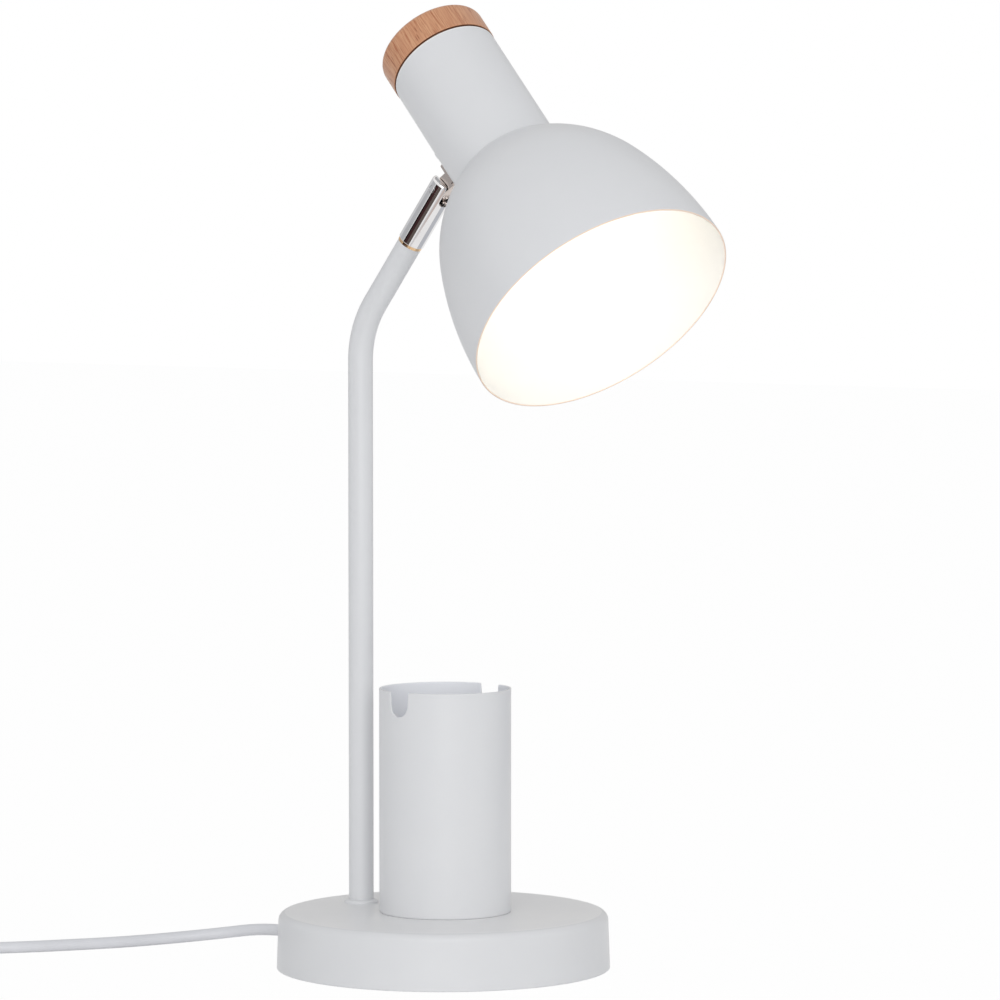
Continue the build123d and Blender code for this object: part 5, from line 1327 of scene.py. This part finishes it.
def strap_rows():
    """A loop of webbing with soft edges, as large as the measured one."""
    spot = np.abs(taken_back(read(measured["cord_tie"].data.vertices, "co"), STRAP))
    half_x, half_y, half = spot[:, 0].max(), spot[:, 1].max(), STRAP_WIDTH / 2
    print("strap loop half sizes", round(half_x, 2), round(half_y, 2))
    edge = [(0.5, half - 0.1), (0.35, half), (0.1, half), (0.0, half - 0.15)]
    section = edge + [(inset, -z) for inset, z in edge[::-1]]
    section = section[-1:] + section
    return [(half_x - inset, half_y - inset, STRAP_CORNER - inset, z) for inset, z in section]


strap = add_piece(
    "coil_strap",
    [stacked(strap_rows(), 12)],
    STRAP,
    "base",
    [BLACK_WEBBING],
    ["cord_tie"],
    sharp=50.0,
)

# %% [markdown]
# ## The pivot pin
# The pin is pressed through the barrel and turned down with it, so each of its ends is a
# small patch of the barrel's own cylinder. In the picture it can hardly be seen for that
# reason.

# %% Flush pin
BARREL_RADIUS, PIN_RADIUS, PIN_SUNK = 6.55, 1.8, 0.02


def pin_surface(sides=32):
    """Rings of growing radius on one end, the rod, and the same rings on the other end. At
    an end, the distance from the barrel's axis is kept, so y = sqrt(R * R - x * x)."""
    rings = np.array([(0, 0), (0.6, 0), (1.2, 0), (1.68, 0.01), (PIN_RADIUS, 0.12)])
    radius, sunk = np.concatenate([rings, rings[::-1]]).T[:, :, None]
    side = np.repeat([-1.0, 1.0], len(rings))[:, None]
    x, z = radius * np.cos(full_turn(sides)), radius * np.sin(full_turn(sides))
    y = side * (np.sqrt((BARREL_RADIUS - PIN_SUNK) ** 2 - x**2) - sunk)
    return np.stack([x, y, z + PIN_HEIGHT], axis=-1), True


flush_pin = add_piece(
    "pivot_pin",
    [pin_surface()],
    BARREL,
    "barrel",
    [CHROME],
    ["knuckle_pin"],
    sharp=50.0,
)

# %% [markdown]
# ## The measured parts that stay
# Fasteners, the knuckle and the hidden fittings have their right shape already. They only
# get a finish, by the metal or plastic that each is made of.

# %% Finishes for the measured parts
PLATED = (
    "bottom_plate bottom_plate_screws stem_nipple stem_washer stem_nut cup_screw cup_nut "
    "clamp_screws switch_screws swivel_grub_screw bracket_screws neck_saddle neck_disc "
    "wood_cap_screws tube_nipple tube_nut bulb_cap"
)
FINISH_OF = {
    CAST_IRON: "base_weight",
    ZINC: PLATED,
    WHITE_PLASTIC: "cord_clamp",
    SHEATH: "cord_inner_end switch_cord_ends",
    BROWN_WIRE: "stem_wire_brown head_wires",
    BLUE_WIRE: "stem_wire_blue",
    BRASS: "knuckle_nipple switch_terminals switch_contact screw_shell centre_contact",
    CHROME: "knuckle_barrel",
    NICKEL: "knuckle_bracket plug_pins",
    NYLON: "friction_washers",
    HOLDER_WHITE: "holder_body holder_dome contact_insert",
    BLACK_PLASTIC: "plug_sleeves",
}

for material, names in FINISH_OF.items():
    for name in names.split():
        slots = measured[name].material_slots
        if not slots:
            measured[name].data.materials.append(material)
        for slot in slots:
            slot.material = material
print("measured parts with a finish:", sum(len(names.split()) for names in FINISH_OF.values()))


# %% True the chrome
def true_to_axis(piece, place, radius):
    """Turned and polished metal mirrors as one smooth cylinder, over the pin's ends too. So
    each corner on the barrel's outside gets the cylinder's own normal: straight out from the
    axis."""
    mesh = piece.data
    normal = read(mesh.corner_normals, "vector")
    at = np.empty(len(mesh.loops), dtype=np.int32)
    mesh.loops.foreach_get("vertex_index", at)
    straight = taken_back(read(mesh.vertices, "co"), place)[at] * [1, 1, 0]
    distance = np.linalg.norm(straight, axis=1)
    straight = (straight / np.maximum(distance, 1e-6)[:, None]) @ place[1]
    outside = (np.abs(distance - radius) < 0.05) & ((straight * normal).sum(axis=1) > 0.7)
    normal[outside] = straight[outside]
    mesh.normals_split_custom_set(normal.tolist())
    print(piece.name, "corners trued:", int(outside.sum()), "of", len(normal))


true_to_axis(measured["knuckle_barrel"], BARREL, BARREL_RADIUS)
true_to_axis(flush_pin, BARREL, BARREL_RADIUS)

# %% [markdown]
# ## Floor, light and surroundings
# The picture is a product shot on white: one large soft light over the camera, a faint one
# from the right and a bright room. The floor and the world look white to the camera and in
# reflections, while the light that falls on the lamp stays at a plain level. Polished metal
# is only as good as what it mirrors, so a few cards stand round the knuckle, where only
# reflections see them. They draw the bands in its chrome.

# %% Floor
FLOOR_HALF, FLOOR_GLOW = 6.0, 0.975


def looked_at(tree, ray):
    """1 for the rays that look at a surface straight, in a mirror or through glass."""
    seen = do_math(tree, "MAXIMUM", ray["Is Camera Ray"], ray["Is Glossy Ray"])
    return do_math(tree, "MAXIMUM", seen, ray["Is Transmission Ray"])


def blended(tree, share, first, second):
    """One shader turning into another."""
    return add_node(tree, "ShaderNodeMixShader", {0: share, 1: first, 2: second}).outputs[0]


def add_floor():
    """A wide sheet at the desk's height. Most of what the camera sees of it is its own
    white, and the rest is lit, so a faint shadow stays under the lamp."""
    mesh, far = bpy.data.meshes.new("floor"), FLOOR_HALF
    corners = [(-far, -far, 0), (far, -far, 0), (far, far, 0), (-far, far, 0)]
    mesh.from_pydata(corners, [], [(0, 1, 2, 3)])
    floor = add_object("floor", mesh)
    material, tree, spot = start_material("floor_paper", Roughness=0.9, Specular_IOR_Level=0.1)
    tooth = use_group(tree, POWDER_GRAIN, Vector=spot, Lumps_per_metre=400.0)
    paper = tree.nodes["Principled BSDF"]
    join(tree, paper, Base_Color=mixed(tree, tooth["Fleck"], (0.90,) * 3, (0.92,) * 3))
    glow = add_node(tree, "ShaderNodeEmission", {"Color": (1, 1, 1, 1), "Strength": 1.0})
    ray = add_node(tree, "ShaderNodeLightPath").outputs
    part = do_math(tree, "MULTIPLY", looked_at(tree, ray), FLOOR_GLOW)
    surface = blended(tree, part, paper.outputs[0], glow.outputs[0])
    join(tree, tree.nodes["Material Output"], Surface=surface)
    mesh.materials.append(material)


add_floor()

# %% World
WHITE = (1, 1, 1, 1), 1.0
ROOM = (0.97, 0.98, 1, 1), 0.625
BACK_WALL = (1, 0.98, 0.95, 1), 0.68


def light_world():
    """White to the camera and in most reflections, and a plain even grey to diffuse light.
    The wall behind the lamp is dimmer in reflections, so level paint mirrors the cup and the
    stem as paler than the wall."""
    scene.world = bpy.data.worlds.new("studio")
    scene.world.use_nodes = True
    tree = scene.world.node_tree
    tree.nodes.clear()

    def background(colour, strength):
        links = {"Color": colour, "Strength": strength}
        return add_node(tree, "ShaderNodeBackground", links).outputs[0]

    ray = add_node(tree, "ShaderNodeLightPath").outputs
    light = blended(tree, looked_at(tree, ray), background(*ROOM), background(*WHITE))
    spot = add_node(tree, "ShaderNodeTexCoord").outputs["Generated"]
    gaze = -np.array(CAMERA_SPOT)
    links = {0: spot, 1: tuple(gaze / np.linalg.norm(gaze))}
    facing = add_node(tree, "ShaderNodeVectorMath", links, operation="DOT_PRODUCT")
    behind = remap(tree, facing.outputs["Value"], 0.45, 0.85)
    dimmed = do_math(tree, "MULTIPLY", ray["Is Glossy Ray"], behind)
    light = blended(tree, dimmed, light, background(*BACK_WALL))
    join(tree, add_node(tree, "ShaderNodeOutputWorld"), Surface=light)


light_world()


# %% Lamps of the studio
def add_softbox(name, spot, target, size, watts):
    """A square area light at a spot, facing a target, both in millimetres."""
    lamp = bpy.data.lights.new(name, "AREA")
    lamp.shape, lamp.size, lamp.energy = "SQUARE", size, watts
    holder = add_object(name, lamp)
    holder.location = Vector(spot) * MM
    aim = Vector(target) - Vector(spot)
    holder.rotation_euler = aim.to_track_quat("-Z", "Y").to_euler()


add_softbox("front_softbox", (2300, -2800, 1050), (0, 0, 200), 2.0, 47.0)
add_softbox("right_softbox", (1600, 500, 500), (0, 0, 150), 1.0, 0.8)

# %% Cards for the chrome
CARD_HALF_HEIGHT = 90


def mirrored_way(place):
    """The direction that the barrel mirrors to the camera at a place across its width, from
    -1 at its left edge to 1 at its right: the gaze less twice its part along the normal."""
    gaze = pin_spot - np.array(CAMERA_SPOT)
    gaze /= np.linalg.norm(gaze)
    toward = -gaze + (gaze @ arm_way) * arm_way
    toward /= np.linalg.norm(toward)
    rightward = np.cross(arm_way, toward)
    rightward *= np.sign(rightward @ np.cross(gaze, up))
    normal = np.sqrt(1 - place**2) * toward + place * rightward
    return gaze - 2 * (gaze @ normal) * normal


def add_card(name, left, right, distance, colour):
    """A card that the barrel mirrors between two places across its width. Its long edges lie
    along the barrel's axis, so its image is a straight band. Only reflections see it."""
    middle = mirrored_way((left + right) / 2)
    centre = pin_spot + middle * distance
    rise = arm_way - (arm_way @ middle) * middle
    rise *= CARD_HALF_HEIGHT / np.linalg.norm(rise)
    width = np.cross(middle, rise) / CARD_HALF_HEIGHT
    edges = np.stack([mirrored_way(left), mirrored_way(right)])
    near, far = centre + ((edges @ width) / (edges @ middle) * distance)[:, None] * width
    mesh = bpy.data.meshes.new(name)
    corners = np.array([near - rise, far - rise, far + rise, near + rise])
    mesh.from_pydata(corners * MM, [], [(0, 1, 2, 3)])
    card = add_object(name, mesh)
    sockets = {"Base_Color": (0, 0, 0), "Specular_IOR_Level": 0.0, "Emission_Strength": 1.0}
    material, tree, spot = start_material(name + "_paper", **sockets)
    nap = use_group(tree, POWDER_GRAIN, Vector=spot, Lumps_per_metre=60.0)["Height"]
    glow = mixed(tree, nap, tuple(value * 0.85 for value in colour), colour)
    join(tree, tree.nodes["Principled BSDF"], Emission_Color=glow)
    mesh.materials.append(material)
    card.visible_camera = card.visible_diffuse = False
    card.visible_shadow = card.visible_transmission = False


add_card("pale_left_card", -0.97, -0.84, 330, (0.72, 0.73, 0.75))
add_card("grey_card", -0.84, -0.56, 330, (0.55, 0.56, 0.58))
add_card("black_card", -0.52, -0.43, 330, (0.006, 0.006, 0.006))
add_card("maroon_card", -0.43, -0.26, 330, (0.055, 0.026, 0.026))
add_card("brown_card", -0.26, -0.05, 330, (0.13, 0.105, 0.095))
add_card("pale_card", 0.05, 0.13, 330, (0.74, 0.73, 0.74))
add_card("beige_card", 0.13, 0.56, 460, (0.64, 0.54, 0.50))
add_card("blue_card", 0.6, 0.86, 330, (0.60, 0.62, 0.66))

# %% [markdown]
# ## The view transform
# Colours are shown through the Standard view transform. The dressed lamp must stay inside
# the measured one's box.

# %% View transform
scene.view_settings.view_transform = "Standard"
